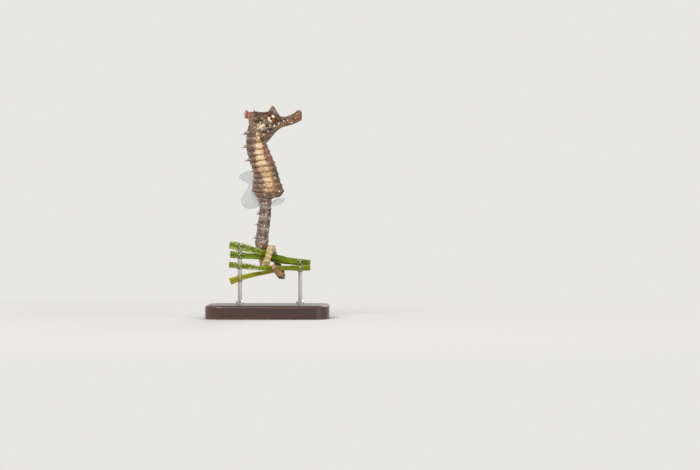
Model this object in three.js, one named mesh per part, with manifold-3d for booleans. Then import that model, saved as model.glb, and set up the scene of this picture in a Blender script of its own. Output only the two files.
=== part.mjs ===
// A young seahorse, life size, its tail wound round a short bunch of seagrass leaves on a plain stand.
// Millimetres. +Z is up, +X is the way the snout points. The origin is the middle of the stand's underside.

import * as THREE from "three";
import { mergeVertices } from "three/addons/utils/BufferGeometryUtils.js";
import Module from "manifold-3d";

// ---------------------------------------------------------------- driving dimensions

const CUT = 0.3; // width of the thin cuts that part one length of the animal from the next

// The middle line of neck, trunk and upper tail, in the animal's plane of symmetry, [x, z].
const BODY_LINE = [
  [-3.7, 58.4],
  [-3.55, 55.9],
  [-3.55, 53.5],
  [-3.35, 50.9],
  [-2.35, 47.95],
  [-1.45, 45.0],
  [-0.6, 42.05],
  [-0.2, 39.1],
  [-0.2, 37.05],
  [-0.6, 35.0],
  [-0.75, 33.25],
  [-0.8, 31.2],
  [-1.05, 28.8],
  [-1.4, 26.45],
  [-1.65, 24.4],
];
// Where the tail slips behind the leaves before it takes hold, [x, y, z].
const TAIL_SLIP = [
  [-1.75, 0.5, 22.4],
  [-1.75, 1.3, 20.5],
];
// The hold, by turns from the back of the leaves: down behind, under, up in front, over the top and round
// again. The first turn holds the two upper leaves, the second all four.
const HOLD = [
  // [turn, x, middle y, middle z, half depth, half height]
  [0, -1.65, -0.35, 18.6, 2.2, 3.1],
  [0.25, -0.95, -0.35, 18.5, 2.2, 3.02],
  [0.5, 0.3, -0.4, 18.4, 2.1, 2.45],
  [0.75, 1.2, -0.5, 18.4, 2.0, 2.2],
  [0.875, 1.45, -0.55, 17.9, 2.0, 2.4],
  [1, 2.2, -0.6, 17.0, 2.05, 2.8],
  [1.125, 3.65, -0.75, 16.0, 2.25, 3.1],
  [1.25, 4.2, -0.9, 15.35, 2.35, 3.0],
  [1.375, 3.4, -1.0, 14.8, 2.5, 2.5],
  [1.5, 2.2, -1.0, 14.4, 2.5, 2.0],
  [1.62, 1.35, -0.9, 14.6, 3.65, 2.0],
];
const HOLD_POINTS = 28;

// Bony rings, counted from the nape down. Ring 0 to 10 are the trunk, the rest the tail.
const RINGS = {
  start: 3, // distance along the body line where the first ring starts
  trunk: 11,
  trunkLength: 1.76,
  tailLength: 1.25, // the first tail ring; each next one is shorter
  tailShrink: 0.995,
  groove: 0.955, // size of the body in the groove between two rings
  last: 52.2,
  tail: [11.3, 13.5], // where the trunk's section turns into the tail's
};

// Size of the body at some rings: [ring, back, belly, half width], measured from the body line.
const GIRTH = [
  [-2.0, 1.7, 1.4, 1.3],
  [-0.8, 2.15, 2.2, 1.75],
  [0.4, 2.75, 2.9, 2.05],
  [1.4, 2.95, 3.25, 2.2],
  [2.4, 3.2, 3.0, 2.25],
  [3.4, 3.42, 3.05, 2.3],
  [4.9, 3.63, 3.32, 2.4],
  [6.4, 3.58, 3.63, 2.5],
  [7.9, 3.87, 3.76, 2.6],
  [8.9, 4.35, 4.0, 2.7],
  [9.9, 4.6, 4.6, 2.7],
  [10.5, 4.62, 4.95, 2.6],
  [11, 4.5, 4.2, 2.45],
  [11.55, 3.89, 2.5, 2.2],
  [12.05, 3.16, 1.95, 2.0],
  [12.55, 2.58, 1.9, 1.85],
  [13.5, 1.95, 1.85, 1.7],
  [14.5, 1.8, 1.75, 1.62],
  [18.5, 1.92, 1.88, 1.6],
  [21.5, 1.82, 1.78, 1.55],
  [24.5, 1.55, 1.5, 1.42],
  [27.5, 1.32, 1.28, 1.25],
  [30.5, 1.15, 1.12, 1.12],
  [33.5, 1.07, 1.05, 1.06],
  [37.5, 1.0, 1.0, 1.0],
  [42.5, 1.0, 1.0, 0.98],
  [46.5, 1.0, 1.0, 0.98],
  [49, 0.94, 0.94, 0.92],
  [51, 0.82, 0.82, 0.8],
  [52.2, 0.6, 0.6, 0.58],
];

// Half of a cross-section from the middle of the back to the middle of the belly:
// [share of the half width, share of the back's (or, if negative, the belly's) height].
const TRUNK_SECTION = [
  [0, 0.9],
  [0.56, 1],
  [0.8, 0.58],
  [1, 0.14],
  [0.88, -0.28],
  [0.74, -0.66],
  [0.34, -0.82],
  [0, -1],
];
const TAIL_SECTION = [
  [0, 0.86],
  [0.96, 0.98],
  [0.86, 0.48],
  [0.84, 0],
  [0.86, -0.48],
  [0.96, -0.98],
  [0.5, -0.88],
  [0, -0.86],
];
const UPPER_RIDGE = 1; // places in those sections that carry a row of tubercles
const SIDE_RIDGE = 3;
const LOWER_RIDGE = 5;
const KEEL = 7;

// Tubercles on every ring where it crosses a ridge, and the long spines.
const TUBERCLE = { height: 0.2, tailHeight: 0.15 };
const SPINES = [
  // [ring, ridge, length, how far the tip stands up]
  [0, UPPER_RIDGE, 1.6, -0.8],
  [2, UPPER_RIDGE, 1.6, 0],
  [4, UPPER_RIDGE, 1.5, -0.2],
  [6, UPPER_RIDGE, 0.7, 0],
  [10, UPPER_RIDGE, 0.5, -0.3],
  [0, SIDE_RIDGE, 0.8, 0],
  [3, SIDE_RIDGE, 0.8, 0],
  [6, SIDE_RIDGE, 0.8, 0],
  [9, SIDE_RIDGE, 0.9, 0],
  [8, LOWER_RIDGE, 0.6, 0],
  [10, LOWER_RIDGE, 0.7, 0],
  [13, UPPER_RIDGE, 0.9, -0.6],
  [15, UPPER_RIDGE, 1.2, -0.9],
  [18, UPPER_RIDGE, 1.2, -0.4],
  [21, UPPER_RIDGE, 1.0, -0.5],
  [31, UPPER_RIDGE, 0.4, 0],
];
const SPINE_WIDTH = 0.4; // radius of a long spine's root

// Named lengths of the body: [node, first ring, end ring].
const LENGTHS = [
  ["neck", -1.7, 3],
  ["trunk_upper", 3, 7],
  ["trunk_lower", 7, 12],
  ["tail_root", 12, 16],
  ["tail_upper", 16, 20],
  ["tail_middle", 20, 24],
  ["tail_behind_leaves", 24, 28],
  ["tail_under_upper_leaves", 28, 32],
  ["tail_front", 32, 36],
  ["tail_over_leaves", 36, 39],
  ["tail_down_behind", 39, 43],
  ["tail_under_leaves", 43, 47],
  ["tail_tip", 47, RINGS.last],
];

// Head, measured from the middle of the eyes: [ahead, crown above, throat below, half width].
const EYE = { x: 1.1, z: 58.5, radius: 1.32, depth: 0.95, apart: 1.6 };
const HEAD_OUTLINE = [
  [-6.8, 1.3, 1.4, 1.1],
  [-6.2, 1.85, 2.1, 1.5],
  [-5.4, 2.1, 3.0, 1.85],
  [-4.6, 2.2, 4.3, 2.1],
  [-2.9, 2.06, 6.4, 2.3],
  [-1.9, 2.1, 7.1, 2.25],
  [-1.1, 2.3, 6.5, 2.2],
  [-0.2, 2.5, 5.55, 2.15],
  [0.7, 2.4, 4.4, 2.0],
  [1.85, 1.65, 3.25, 1.6],
  [2.8, 0.85, 2.6, 1.3],
  [3.9, 0.72, 2.2, 1.1],
  [5.2, 1.15, 1.85, 1.02],
  [6.25, 1.62, 1.5, 1.0],
  [7.4, 2.4, 1.05, 1.05],
  [8.1, 2.75, 0.75, 1.15],
  [8.7, 2.4, 0.35, 0.95],
];
const HEAD_STEPS = 18; // cross-sections from nape to mouth
const HEAD_SIDES = 16;
const SNOUT_FROM = 2.6; // where the snout starts, ahead of the eyes
const HEAD_CUT = { from: [-5.8, 57.9], to: [-0.5, 51.25] }; // the cut between head and neck, [x, z]
const HEAD_SPINES = [
  // root and tip, each [ahead, up, out], then the root's radius
  { root: [-0.35, 1.2, 1.0], tip: [0.3, 3.9, 1.15], radius: 1.15 }, // brow
  { root: [1.1, 1.0, 0.8], tip: [0.45, 3.8, 1.1], radius: 1.15 }, // brow, ahead of it
  { root: [0.6, 0.9, 0.0], tip: [0.95, 2.95, 0.0], radius: 0.9 }, // nose
  { root: [-5.0, 1.2, 0.45], tip: [-5.15, 2.8, 0.7], radius: 0.65 }, // crown
  { root: [-1.2, -5.3, 0.9], tip: [-1.35, -6.9, 1.15], radius: 0.5 }, // foot of the gill cover
];
const GILL_COVER = { ahead: -3.0, down: 3.0, long: 2.1, tall: 2.6, bulge: 1.3, apart: 1.35 };
const CORONET = {
  root: [-4.5, 59.5],
  lean: 86, // degrees back from upright
  length: 2.6,
  waist: 1.05,
  rim: 1.05,
  points: 5,
  point: 0.65,
  lift: 0.7, // how far the points at the sides flare on; those above and below fall short
};

// Fins: the root and the rim of each fan, [x, y, z].
const FIN_THICK = 0.5;
const DORSAL_FIN = {
  rootRings: [7.4, 13.45],
  rim: [
    [-5.9, 0, 43.4],
    [-7.5, 0.2, 42.6],
    [-8.6, 0.5, 41.6],
    [-7.8, 0.9, 40.6],
    [-5.9, 0.9, 39.4],
    [-6.1, 0.4, 38.3],
    [-7.2, -0.2, 36.5],
    [-7.9, -0.6, 35.0],
    [-7.7, -0.5, 33.5],
    [-6.9, 0, 32.4],
    [-5.0, 0.2, 32.1],
    [-3.2, 0, 32.4],
  ],
};
const ANAL_FIN = {
  root: [
    [3.0, 0, 35.1],
    [1.9, 0, 34.75],
    [1.0, 0, 33.9],
  ],
  rim: [
    [5.2, 0.1, 35.5],
    [4.7, 0.25, 34.2],
    [3.6, 0.3, 33.4],
    [2.4, 0.2, 33.0],
    [1.2, 0, 32.9],
  ],
};
const PECTORAL_FIN = {
  root: [
    [-3.9, 2.1, 55.9],
    [-3.95, 2.3, 54.9],
    [-3.8, 2.3, 53.8],
  ],
  rim: [
    [-4.9, 2.4, 56.6],
    [-5.8, 2.8, 55.8],
    [-6.15, 3.0, 54.6],
    [-5.8, 3.0, 53.4],
    [-4.8, 2.8, 52.8],
  ],
};

// Seagrass leaves, cut short: [x, y, z, width] along the middle of each.
const LEAF = { thick: 0.5, steps: 15 };
const LEAVES = {
  leaf_top: [
    [-11.4, 1.0, 21.5, 2.3],
    [-8.4, 0.65, 21.0, 2.2],
    [-5.3, -0.2, 20.3, 1.9],
    [-2.6, -1.15, 19.55, 1.7],
    [-0.8, -0.75, 19.05, 1.65],
    [3.5, -0.75, 17.6, 1.7],
    [6.6, -0.3, 16.9, 1.7],
    [9.4, 0.5, 16.5, 1.75],
    [12.4, 1.3, 16.2, 1.7],
  ],
  leaf_upper: [
    [-11.2, 1.0, 18.7, 2.05],
    [-8.4, 0.65, 18.45, 1.9],
    [-5.3, 0.2, 18.2, 1.8],
    [-2.6, -0.12, 18.0, 1.6],
    [-0.8, -0.08, 17.75, 1.55],
    [1.2, -0.1, 17.3, 1.6],
    [3.5, -0.1, 16.85, 1.6],
    [6.6, 0.45, 16.5, 1.6],
    [9.4, 1.3, 16.3, 1.6],
    [12.2, 2.1, 16.05, 1.6],
  ],
  leaf_lower: [
    [-11.5, 0.6, 15.65, 1.8],
    [-8.4, 0.65, 15.35, 1.75],
    [-5.3, -0.6, 15.07, 1.6],
    [-2.6, -2.85, 14.75, 1.35],
    [-0.6, -3.2, 14.7, 1.35],
    [1.2, -2.58, 14.66, 1.32],
    [3.5, -1.4, 14.7, 1.35],
    [6.6, -0.5, 14.7, 1.5],
    [9.4, 0.2, 14.7, 1.7],
    [12.4, -0.1, 14.75, 1.5],
  ],
  leaf_bottom: [
    [-11.2, 0.5, 10.7, 2.05],
    [-8.4, 0.65, 11.65, 1.65],
    [-5.3, 0.3, 12.5, 1.4],
    [-2.35, -0.2, 13.1, 1.2],
    [0.9, -0.65, 13.7, 1.1],
    [3.5, -0.7, 14.35, 1.1],
    [6.6, 0.25, 14.6, 1.05],
    [9.4, 1.3, 14.6, 1.0],
    [11.0, 1.3, 14.6, 0.9],
  ],
};

// Stand: a flat base and two rods that rise behind the leaves.
const BASE = { length: 36, width: 24, height: 4, corner: 5, bevel: 0.8 };
const ROD = { radius: 0.6, sides: 14, collar: 1.25, collarHeight: 1.1, tipHeight: 0.45 };
const RODS = {
  stand_rod_left: { x: -8.4, y: 1.6, top: 22 },
  stand_rod_right: { x: 9.4, y: 2.3, top: 17.3 },
};

// ---------------------------------------------------------------- materials

function finish(colour, roughness, metalness = 0, opacity = 1) {
  return new THREE.MeshStandardMaterial({
    color: colour,
    roughness,
    metalness,
    opacity,
    transparent: opacity < 1,
  });
}

const SKIN = finish(0x8d7463, 0.6);
const CROWN = finish(0xa0674f, 0.6);
const FIN = finish(0xb9c4c4, 0.35, 0, 0.5);
const EYEBALL = finish(0xd9b48a, 0.12);
const LEAF_GREEN = finish(0x6d8f1d, 0.5);
const LEAF_YELLOW = finish(0x9c9a2a, 0.5);
const WOOD = finish(0x4b2f1f, 0.5);
const STEEL = finish(0xb4b4b2, 0.3, 1);

// ---------------------------------------------------------------- solids

const wasm = await Module();
wasm.setup();

// A three.js geometry as a manifold-3d solid, its shared corners merged.
function solidFrom(geometry) {
  const bare = geometry.clone();
  bare.deleteAttribute("normal");
  bare.deleteAttribute("uv");
  const merged = mergeVertices(bare, 1e-4);
  return new wasm.Manifold(
    new wasm.Mesh({
      numProp: 3,
      vertProperties: new Float32Array(merged.attributes.position.array),
      triVerts: new Uint32Array(merged.index.array),
    }),
  );
}

// And back again.
function geometryFrom(solid) {
  const mesh = solid.getMesh();
  return new THREE.BufferGeometry()
    .setAttribute("position", new THREE.BufferAttribute(mesh.vertProperties, 3))
    .setIndex(new THREE.BufferAttribute(mesh.triVerts, 1));
}

// A closed skin through a row of cross-sections, all with the same number of corners.
function loft(sections) {
  const sides = sections[0].length;
  const corners = sections.flat();
  const faces = [];
  for (let i = 0; i + 1 < sections.length; i++) {
    for (let j = 0; j < sides; j++) {
      const a = i * sides + j;
      const b = i * sides + ((j + 1) % sides);
      faces.push(a, b, b + sides, a, b + sides, a + sides);
    }
  }
  [0, sections.length - 1].forEach((i) => {
    const middle = new THREE.Vector3();
    sections[i].forEach((p) => middle.addScaledVector(p, 1 / sides));
    corners.push(middle);
    for (let j = 0; j < sides; j++) {
      const a = i * sides + j;
      const b = i * sides + ((j + 1) % sides);
      faces.push(...(i === 0 ? [corners.length - 1, b, a] : [corners.length - 1, a, b]));
    }
  });
  return new THREE.BufferGeometry().setFromPoints(corners).setIndex(faces);
}

// The same as a solid, its faces pointing out whichever way the corners run.
function loftSolid(sections) {
  const solid = solidFrom(loft(sections));
  return solid.volume() > 0 ? solid : solidFrom(loft([...sections].reverse()));
}

// A cone from its root to its tip.
function cone(root, tip, radius, sides = 6) {
  const axis = tip.clone().sub(root);
  const turn = new THREE.Quaternion().setFromUnitVectors(
    new THREE.Vector3(0, 1, 0),
    axis.clone().normalize(),
  );
  const middle = root.clone().addScaledVector(axis, 0.5);
  return new THREE.ConeGeometry(radius, axis.length(), sides)
    .applyQuaternion(turn)
    .translate(middle.x, middle.y, middle.z);
}

// The half of space on one side of the head's cut, as a large block. side is 1 ahead of it, -1 behind.
function besideHeadCut(side) {
  const size = 60;
  const from = new THREE.Vector2(...HEAD_CUT.from);
  const to = new THREE.Vector2(...HEAD_CUT.to);
  const along = to.clone().sub(from);
  const middle = from.clone().add(to).multiplyScalar(0.5);
  const away = side * (size / 2 + CUT / 2);
  return solidFrom(
    new THREE.BoxGeometry(size, size, size)
      .translate(away, 0, 0)
      .rotateY(-Math.PI / 2 - along.angle())
      .translate(middle.x, 0, middle.y),
  );
}

const at = (list) => new THREE.Vector3(...list);
const mix = THREE.MathUtils.lerp;
const smooth = THREE.MathUtils.smoothstep;

// A row of [place, value, value, ...] read at any place, with a smooth run between its entries.
function readTable(table, place) {
  const last = table.length - 1;
  const k = Math.min(Math.max(table.findIndex((row) => row[0] > place) - 1, 0), last - 1);
  const i = place >= table[last][0] ? last - 1 : k;
  const t = THREE.MathUtils.clamp((place - table[i][0]) / (table[i + 1][0] - table[i][0]), 0, 1);
  const before = table[Math.max(i - 1, 0)];
  const after = table[Math.min(i + 2, last)];
  return table[i].slice(1).map((value, n) => {
    const next = table[i + 1][n + 1];
    const width = table[i + 1][0] - table[i][0];
    const slopeA = (next - before[n + 1]) / (table[i + 1][0] - before[0] || 1);
    const slopeB = (after[n + 1] - value) / (after[0] - table[i][0] || 1);
    const t2 = t * t;
    const t3 = t2 * t;
    return (
      (2 * t3 - 3 * t2 + 1) * value +
      (t3 - 2 * t2 + t) * width * slopeA +
      (3 * t2 - 2 * t3) * next +
      (t3 - t2) * width * slopeB
    );
  });
}

// ---------------------------------------------------------------- the body's line

// The point of the tail's hold after some turns round the leaves.
function holdPoint(turn) {
  const [x, y, z, halfDepth, halfHeight] = readTable(HOLD, turn);
  const angle = 2 * Math.PI * turn;
  return new THREE.Vector3(x, y + halfDepth * Math.cos(angle), z - halfHeight * Math.sin(angle));
}

const HOLD_END = HOLD.at(-1)[0];
const holdTurns = Array.from({ length: HOLD_POINTS }, (_, i) => (HOLD_END * i) / (HOLD_POINTS - 1));
const bodyLine = new THREE.CatmullRomCurve3(
  [
    ...BODY_LINE.map(([x, z]) => new THREE.Vector3(x, 0, z)),
    ...TAIL_SLIP.map(at),
    ...holdTurns.map(holdPoint),
  ],
  false,
  "centripetal",
);
bodyLine.arcLengthDivisions = 1200;
const bodyLength = bodyLine.getLength();

// Distance along the body line of any ring, whole or part.
function distanceAt(ring) {
  if (ring <= RINGS.trunk) return RINGS.start + ring * RINGS.trunkLength;
  const shrunk = 1 - RINGS.tailShrink ** (ring - RINGS.trunk);
  return (
    RINGS.start +
    RINGS.trunk * RINGS.trunkLength +
    (RINGS.tailLength * shrunk) / (1 - RINGS.tailShrink)
  );
}

// How many turns of the hold lie before a share of the body line's length. It is below 0 above the hold.
function turnAt(share) {
  const place = bodyLine.getUtoTmapping(share) * (bodyLine.points.length - 1);
  const first = BODY_LINE.length + TAIL_SLIP.length;
  return ((place - first) * HOLD_END) / (HOLD_POINTS - 1);
}

// The body's own axes at a ring: along it, towards its back, and out to its right side. The tail twists
// on its way to the hold, and then turns its back away from the leaves.
function axesAt(ring) {
  const share = THREE.MathUtils.clamp(distanceAt(ring) / bodyLength, 0, 1);
  const middle = bodyLine.getPointAt(share);
  const along = bodyLine.getTangentAt(share);
  const turn = turnAt(share);
  const [, y, z] = readTable(HOLD, turn);
  const fromLeaves = new THREE.Vector3(0, middle.y - y, middle.z - z).normalize();
  const back = new THREE.Vector3(-1, 0, 0).lerp(fromLeaves, smooth(turn, -0.3, 0.05));
  back.addScaledVector(along, -back.dot(along)).normalize();
  const right = new THREE.Vector3().crossVectors(back, along);
  return { middle, along, back, right };
}

// A corner of the body: ring, place in the half section, and side (1 right, -1 left).
function cornerAt(ring, place, side, swell = 1, lift = 0) {
  const { middle, back, right } = axesAt(ring);
  const [up, down, half] = readTable(GIRTH, ring);
  const tail = smooth(ring, ...RINGS.tail);
  const across = mix(TRUNK_SECTION[place][0], TAIL_SECTION[place][0], tail);
  const height = mix(TRUNK_SECTION[place][1], TAIL_SECTION[place][1], tail);
  const out = new THREE.Vector3()
    .addScaledVector(right, side * across * half)
    .addScaledVector(back, height * (height > 0 ? up : down));
  const reach = out.length();
  return middle.addScaledVector(out, swell + lift / reach);
}

const isRidge = (place) => [UPPER_RIDGE, SIDE_RIDGE, LOWER_RIDGE, KEEL].includes(place);

// How far a ring's crest stands out at a ridge. The tail has no keel and no side ridge.
function tubercleAt(ring, place) {
  if (!isRidge(place)) return 0;
  const tail = smooth(ring, ...RINGS.tail);
  const faded = place === KEEL || place === SIDE_RIDGE ? 1 - tail : 1;
  const size = readTable(GIRTH, ring)[2] / 2.4;
  return faded * size * mix(TUBERCLE.height, TUBERCLE.tailHeight, tail);
}

// The whole cross-section at a ring: down its right side, and up its left.
function sectionAt(ring, swell, crest) {
  const corner = (place, side) =>
    cornerAt(ring, place, side, swell, crest ? tubercleAt(ring, place) : 0);
  const places = TRUNK_SECTION.map((_, place) => place);
  return [
    ...places.map((place) => corner(place, 1)),
    ...places
      .slice(1, -1)
      .reverse()
      .map((place) => corner(place, -1)),
  ];
}

// One length of the body, with a groove at each whole ring and a crest half way between.
function bodyLengthSolid(first, end) {
  const halfCut = (ring) => CUT / 2 / (distanceAt(ring + 0.5) - distanceAt(ring - 0.5));
  const from = first + (first === LENGTHS[0][1] ? 0 : halfCut(first));
  const to = end - (end === LENGTHS.at(-1)[2] ? 0 : halfCut(end));
  const rings = [from];
  for (let half = Math.ceil(from * 2 + 0.2) / 2; half < to - 0.1; half += 0.5) rings.push(half);
  rings.push(to);
  const swellAt = (ring) => mix(1, RINGS.groove, Math.abs(Math.cos(Math.PI * ring)));
  const isCrest = (ring) => Math.abs((((ring % 1) + 1) % 1) - 0.5) < 1e-6;
  return loftSolid(rings.map((r) => sectionAt(r, swellAt(r), isCrest(r))));
}

// A long spine on a ring's crest.
function spineSolid([ring, place, length, rise], side) {
  const crest = ring + 0.5;
  const tubercle = tubercleAt(crest, place);
  const root = cornerAt(crest, place, side, 1, -SPINE_WIDTH);
  const tip = cornerAt(crest, place, side, 1, tubercle + length);
  tip.addScaledVector(axesAt(crest).along, -rise);
  return solidFrom(cone(root, tip, SPINE_WIDTH, 5));
}

// Every named length with the spines that grow from it.
function bodyLengths() {
  return new Map(
    LENGTHS.map(([name, first, end]) => {
      const here = SPINES.filter(([ring]) => ring + 0.5 > first && ring + 0.5 < end);
      const spines = here.flatMap((spine) => [1, -1].map((side) => spineSolid(spine, side)));
      return [name, wasm.Manifold.union([bodyLengthSolid(first, end), ...spines])];
    }),
  );
}

// ---------------------------------------------------------------- head

const fromEyes = (ahead, up, y = 0) => new THREE.Vector3(EYE.x + ahead, y, EYE.z + up);

// A cross-section of the head: a rounded wedge, widest a little above its middle.
function headSection(ahead) {
  const [crown, throat, half] = readTable(HEAD_OUTLINE, ahead);
  const wedge = smooth(-ahead, -3.2, 1.5) * 0.35; // how much narrower the throat is than the cheek
  return Array.from({ length: HEAD_SIDES }, (_, i) => {
    const angle = (2 * Math.PI * i) / HEAD_SIDES;
    const rise = Math.cos(angle);
    const height = mix(-throat, crown, (1 + rise) / 2);
    const spread = Math.sign(Math.sin(angle)) * Math.abs(Math.sin(angle)) ** 0.8;
    return fromEyes(ahead, height, -spread * half * (1 - wedge * (1 - rise) * 0.5));
  });
}

function skullSolid() {
  const first = HEAD_OUTLINE[0][0];
  const last = HEAD_OUTLINE.at(-1)[0];
  const sections = Array.from({ length: HEAD_STEPS + 1 }, (_, i) =>
    headSection(mix(first, last, i / HEAD_STEPS)),
  );
  return loftSolid(sections);
}

// The short spines of the head, in pairs, and single where they stand in the middle.
function headSpines() {
  return HEAD_SPINES.flatMap(({ root, tip, radius }) =>
    (tip[2] > 0 ? [1, -1] : [1]).map((side) =>
      solidFrom(
        cone(
          fromEyes(root[0], root[1], side * root[2]),
          fromEyes(tip[0], tip[1], side * tip[2]),
          radius,
        ),
      ),
    ),
  );
}

function eyeGeometry(side, extra = 0) {
  return new THREE.SphereGeometry(1, 14, 10)
    .rotateX(Math.PI / 2)
    .scale(EYE.radius + extra, EYE.depth + extra, EYE.radius + extra)
    .translate(EYE.x, side * EYE.apart, EYE.z);
}

// The gill cover's outer form: a lens on the cheek.
function gillLens(side, extra = 0) {
  const centre = fromEyes(GILL_COVER.ahead, -GILL_COVER.down, side * GILL_COVER.apart);
  return solidFrom(
    new THREE.SphereGeometry(1, 14, 8)
      .rotateX(Math.PI / 2)
      .scale(GILL_COVER.long + extra, GILL_COVER.bulge + extra, GILL_COVER.tall + extra)
      .rotateY(0.35)
      .translate(centre.x, centre.y, centre.z),
  );
}

// The mouth: a small pocket in the end of the snout, which opens forwards and up.
function mouthPocket() {
  const centre = fromEyes(HEAD_OUTLINE.at(-1)[0] + 0.05, 1.75);
  return solidFrom(
    new THREE.SphereGeometry(1, 10, 8)
      .scale(0.55, 0.55, 0.6)
      .translate(centre.x, centre.y, centre.z),
  );
}

// Head, snout, gill covers and the neck's own share of the joint between them.
function headSolids(neck) {
  const eyes = [1, -1].map((side) => solidFrom(eyeGeometry(side, CUT)));
  const whole = wasm.Manifold.union([skullSolid(), neck, ...headSpines()]).subtract(
    wasm.Manifold.union(eyes),
  );
  const ahead = whole.intersect(besideHeadCut(1));
  const snoutCut = (side) =>
    solidFrom(
      new THREE.BoxGeometry(40, 40, 40).translate(
        EYE.x + SNOUT_FROM + side * (20 + CUT / 2),
        0,
        EYE.z,
      ),
    );
  const snout = ahead.intersect(snoutCut(1)).subtract(mouthPocket());
  const cranium = ahead.intersect(snoutCut(-1));
  const covers = [1, -1].map((side) => gillLens(side).intersect(besideHeadCut(1)));
  const core = cranium.subtract(wasm.Manifold.union([gillLens(1, CUT), gillLens(-1, CUT)]));
  return { head: core, snout, covers, neck: whole.intersect(besideHeadCut(-1)) };
}

// The coronet: a waisted stalk that opens into a star of points.
function coronetSolid() {
  const lean = THREE.MathUtils.degToRad(CORONET.lean);
  const axis = new THREE.Vector3(-Math.sin(lean), 0, Math.cos(lean));
  const side = new THREE.Vector3(0, -1, 0);
  const up = new THREE.Vector3().crossVectors(side, axis).negate();
  const root = new THREE.Vector3(CORONET.root[0], 0, CORONET.root[1]);
  const corners = CORONET.points * 2;
  const ring = (share, radius, star, flare = 0) =>
    Array.from({ length: corners }, (_, i) => {
      const angle = (2 * Math.PI * i) / corners;
      const isPoint = i % 2 === 0;
      const reach = radius + (isPoint ? star : 0);
      const lift = flare * (1 - 1.8 * Math.cos(angle) ** 2);
      return root
        .clone()
        .addScaledVector(axis, CORONET.length * share + (isPoint ? lift : 0))
        .addScaledVector(up, Math.cos(angle) * reach)
        .addScaledVector(side, Math.sin(angle) * reach * 0.9);
    });
  return loftSolid([
    ring(0, CORONET.waist * 1.15, 0),
    ring(0.35, CORONET.waist, 0.08),
    ring(0.7, CORONET.rim, CORONET.point * 0.4),
    ring(0.88, CORONET.rim, CORONET.point, CORONET.lift),
    ring(0.86, CORONET.rim * 0.6, 0),
  ]);
}

// ---------------------------------------------------------------- fins

// A fan of even thickness between a root line and a rim line.
function finSolid(root, rim, raysAcross, steps) {
  const rootLine = new THREE.CatmullRomCurve3(root);
  const rimLine = new THREE.CatmullRomCurve3(rim);
  const place = (i, j) =>
    rootLine
      .getPoint(i / raysAcross)
      .lerp(rimLine.getPoint(i / raysAcross), j / steps);
  const normal = (i, j) => {
    const a = place(Math.min(i + 1, raysAcross), j).sub(place(Math.max(i - 1, 0), j));
    const b = place(i, Math.min(j + 1, steps)).sub(place(i, Math.max(j - 1, 0)));
    return a.cross(b).normalize();
  };
  // Each ray across the fan is a section: out along one face and back along the other.
  const sections = Array.from({ length: raysAcross + 1 }, (_, i) => {
    const face = (side) =>
      Array.from({ length: steps + 1 }, (_, j) =>
        place(i, j).addScaledVector(normal(i, j), (side * FIN_THICK) / 2),
      );
    return [...face(1), ...face(-1).reverse()];
  });
  return loftSolid(sections);
}

function dorsalRoot() {
  const [first, last] = DORSAL_FIN.rootRings;
  return Array.from({ length: 8 }, (_, i) => cornerAt(mix(first, last, i / 7), 0, 1, 0.98));
}

const mirrored = (points) => points.map(([x, y, z]) => [x, -y, z]);

// A solid without what lies inside the bodies that carry it.
function clearOf(solid, bodies) {
  return solid.subtract(wasm.Manifold.union(bodies));
}

// ---------------------------------------------------------------- perch and stand

// A leaf: a thin lens in section, its broad face towards -Y.
function leafSolid(points) {
  const line = new THREE.CatmullRomCurve3(points.map(([x, y, z]) => new THREE.Vector3(x, y, z)));
  const widths = points.map(([x, , , width]) => [x, width]);
  const outline = [
    [-1, 0],
    [-0.6, -1],
    [0.6, -1],
    [1, 0],
    [0.6, 1],
    [-0.6, 1],
  ];
  const sections = Array.from({ length: LEAF.steps + 1 }, (_, i) => {
    const middle = line.getPointAt(i / LEAF.steps);
    const along = line.getTangentAt(i / LEAF.steps);
    const flat = new THREE.Vector3(0, 1, 0).addScaledVector(along, -along.y).normalize();
    const across = new THREE.Vector3().crossVectors(flat, along);
    const [width] = readTable(widths, middle.x);
    return outline.map(([w, t]) =>
      middle
        .clone()
        .addScaledVector(across, (w * width) / 2)
        .addScaledVector(flat, (t * LEAF.thick) / 2),
    );
  });
  return loftSolid(sections);
}

function roundedPlate(length, width, radius) {
  const x = length / 2;
  const y = width / 2;
  const plate = new THREE.Shape();
  plate.moveTo(-x + radius, -y);
  plate.lineTo(x - radius, -y);
  plate.absarc(x - radius, -y + radius, radius, -Math.PI / 2, 0);
  plate.lineTo(x, y - radius);
  plate.absarc(x - radius, y - radius, radius, 0, Math.PI / 2);
  plate.lineTo(-x + radius, y);
  plate.absarc(-x + radius, y - radius, radius, Math.PI / 2, Math.PI);
  plate.lineTo(-x, -y + radius);
  plate.absarc(-x + radius, -y + radius, radius, Math.PI, 1.5 * Math.PI);
  return plate;
}

// The base, with a bevel round its top edge.
function baseSolid() {
  const inner = BASE.corner - BASE.bevel;
  const section = (length, width, radius, z) =>
    roundedPlate(length, width, radius)
      .getPoints(5)
      .map((p) => new THREE.Vector3(p.x, p.y, z));
  const full = (z) => section(BASE.length, BASE.width, BASE.corner, z);
  const top = section(
    BASE.length - 2 * BASE.bevel,
    BASE.width - 2 * BASE.bevel,
    inner,
    BASE.height,
  );
  return loftSolid([full(0), full(BASE.height - BASE.bevel), top]);
}

// A rod with a collar at its foot and a rounded tip.
function rodGeometry({ x, y, top }) {
  const { radius, collar, collarHeight, tipHeight } = ROD;
  const profile = [
    [0, BASE.height],
    [collar, BASE.height],
    [collar, BASE.height + collarHeight * 0.6],
    [radius, BASE.height + collarHeight],
    [radius, top - tipHeight],
    [radius * 0.7, top - tipHeight * 0.25],
    [0, top],
  ];
  return new THREE.LatheGeometry(profile.map(([r, z]) => new THREE.Vector2(r, z)), ROD.sides)
    .rotateX(Math.PI / 2)
    .translate(x, y, 0);
}

// ---------------------------------------------------------------- the model

const seahorse = new THREE.Group();
seahorse.name = "seahorse";

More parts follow.
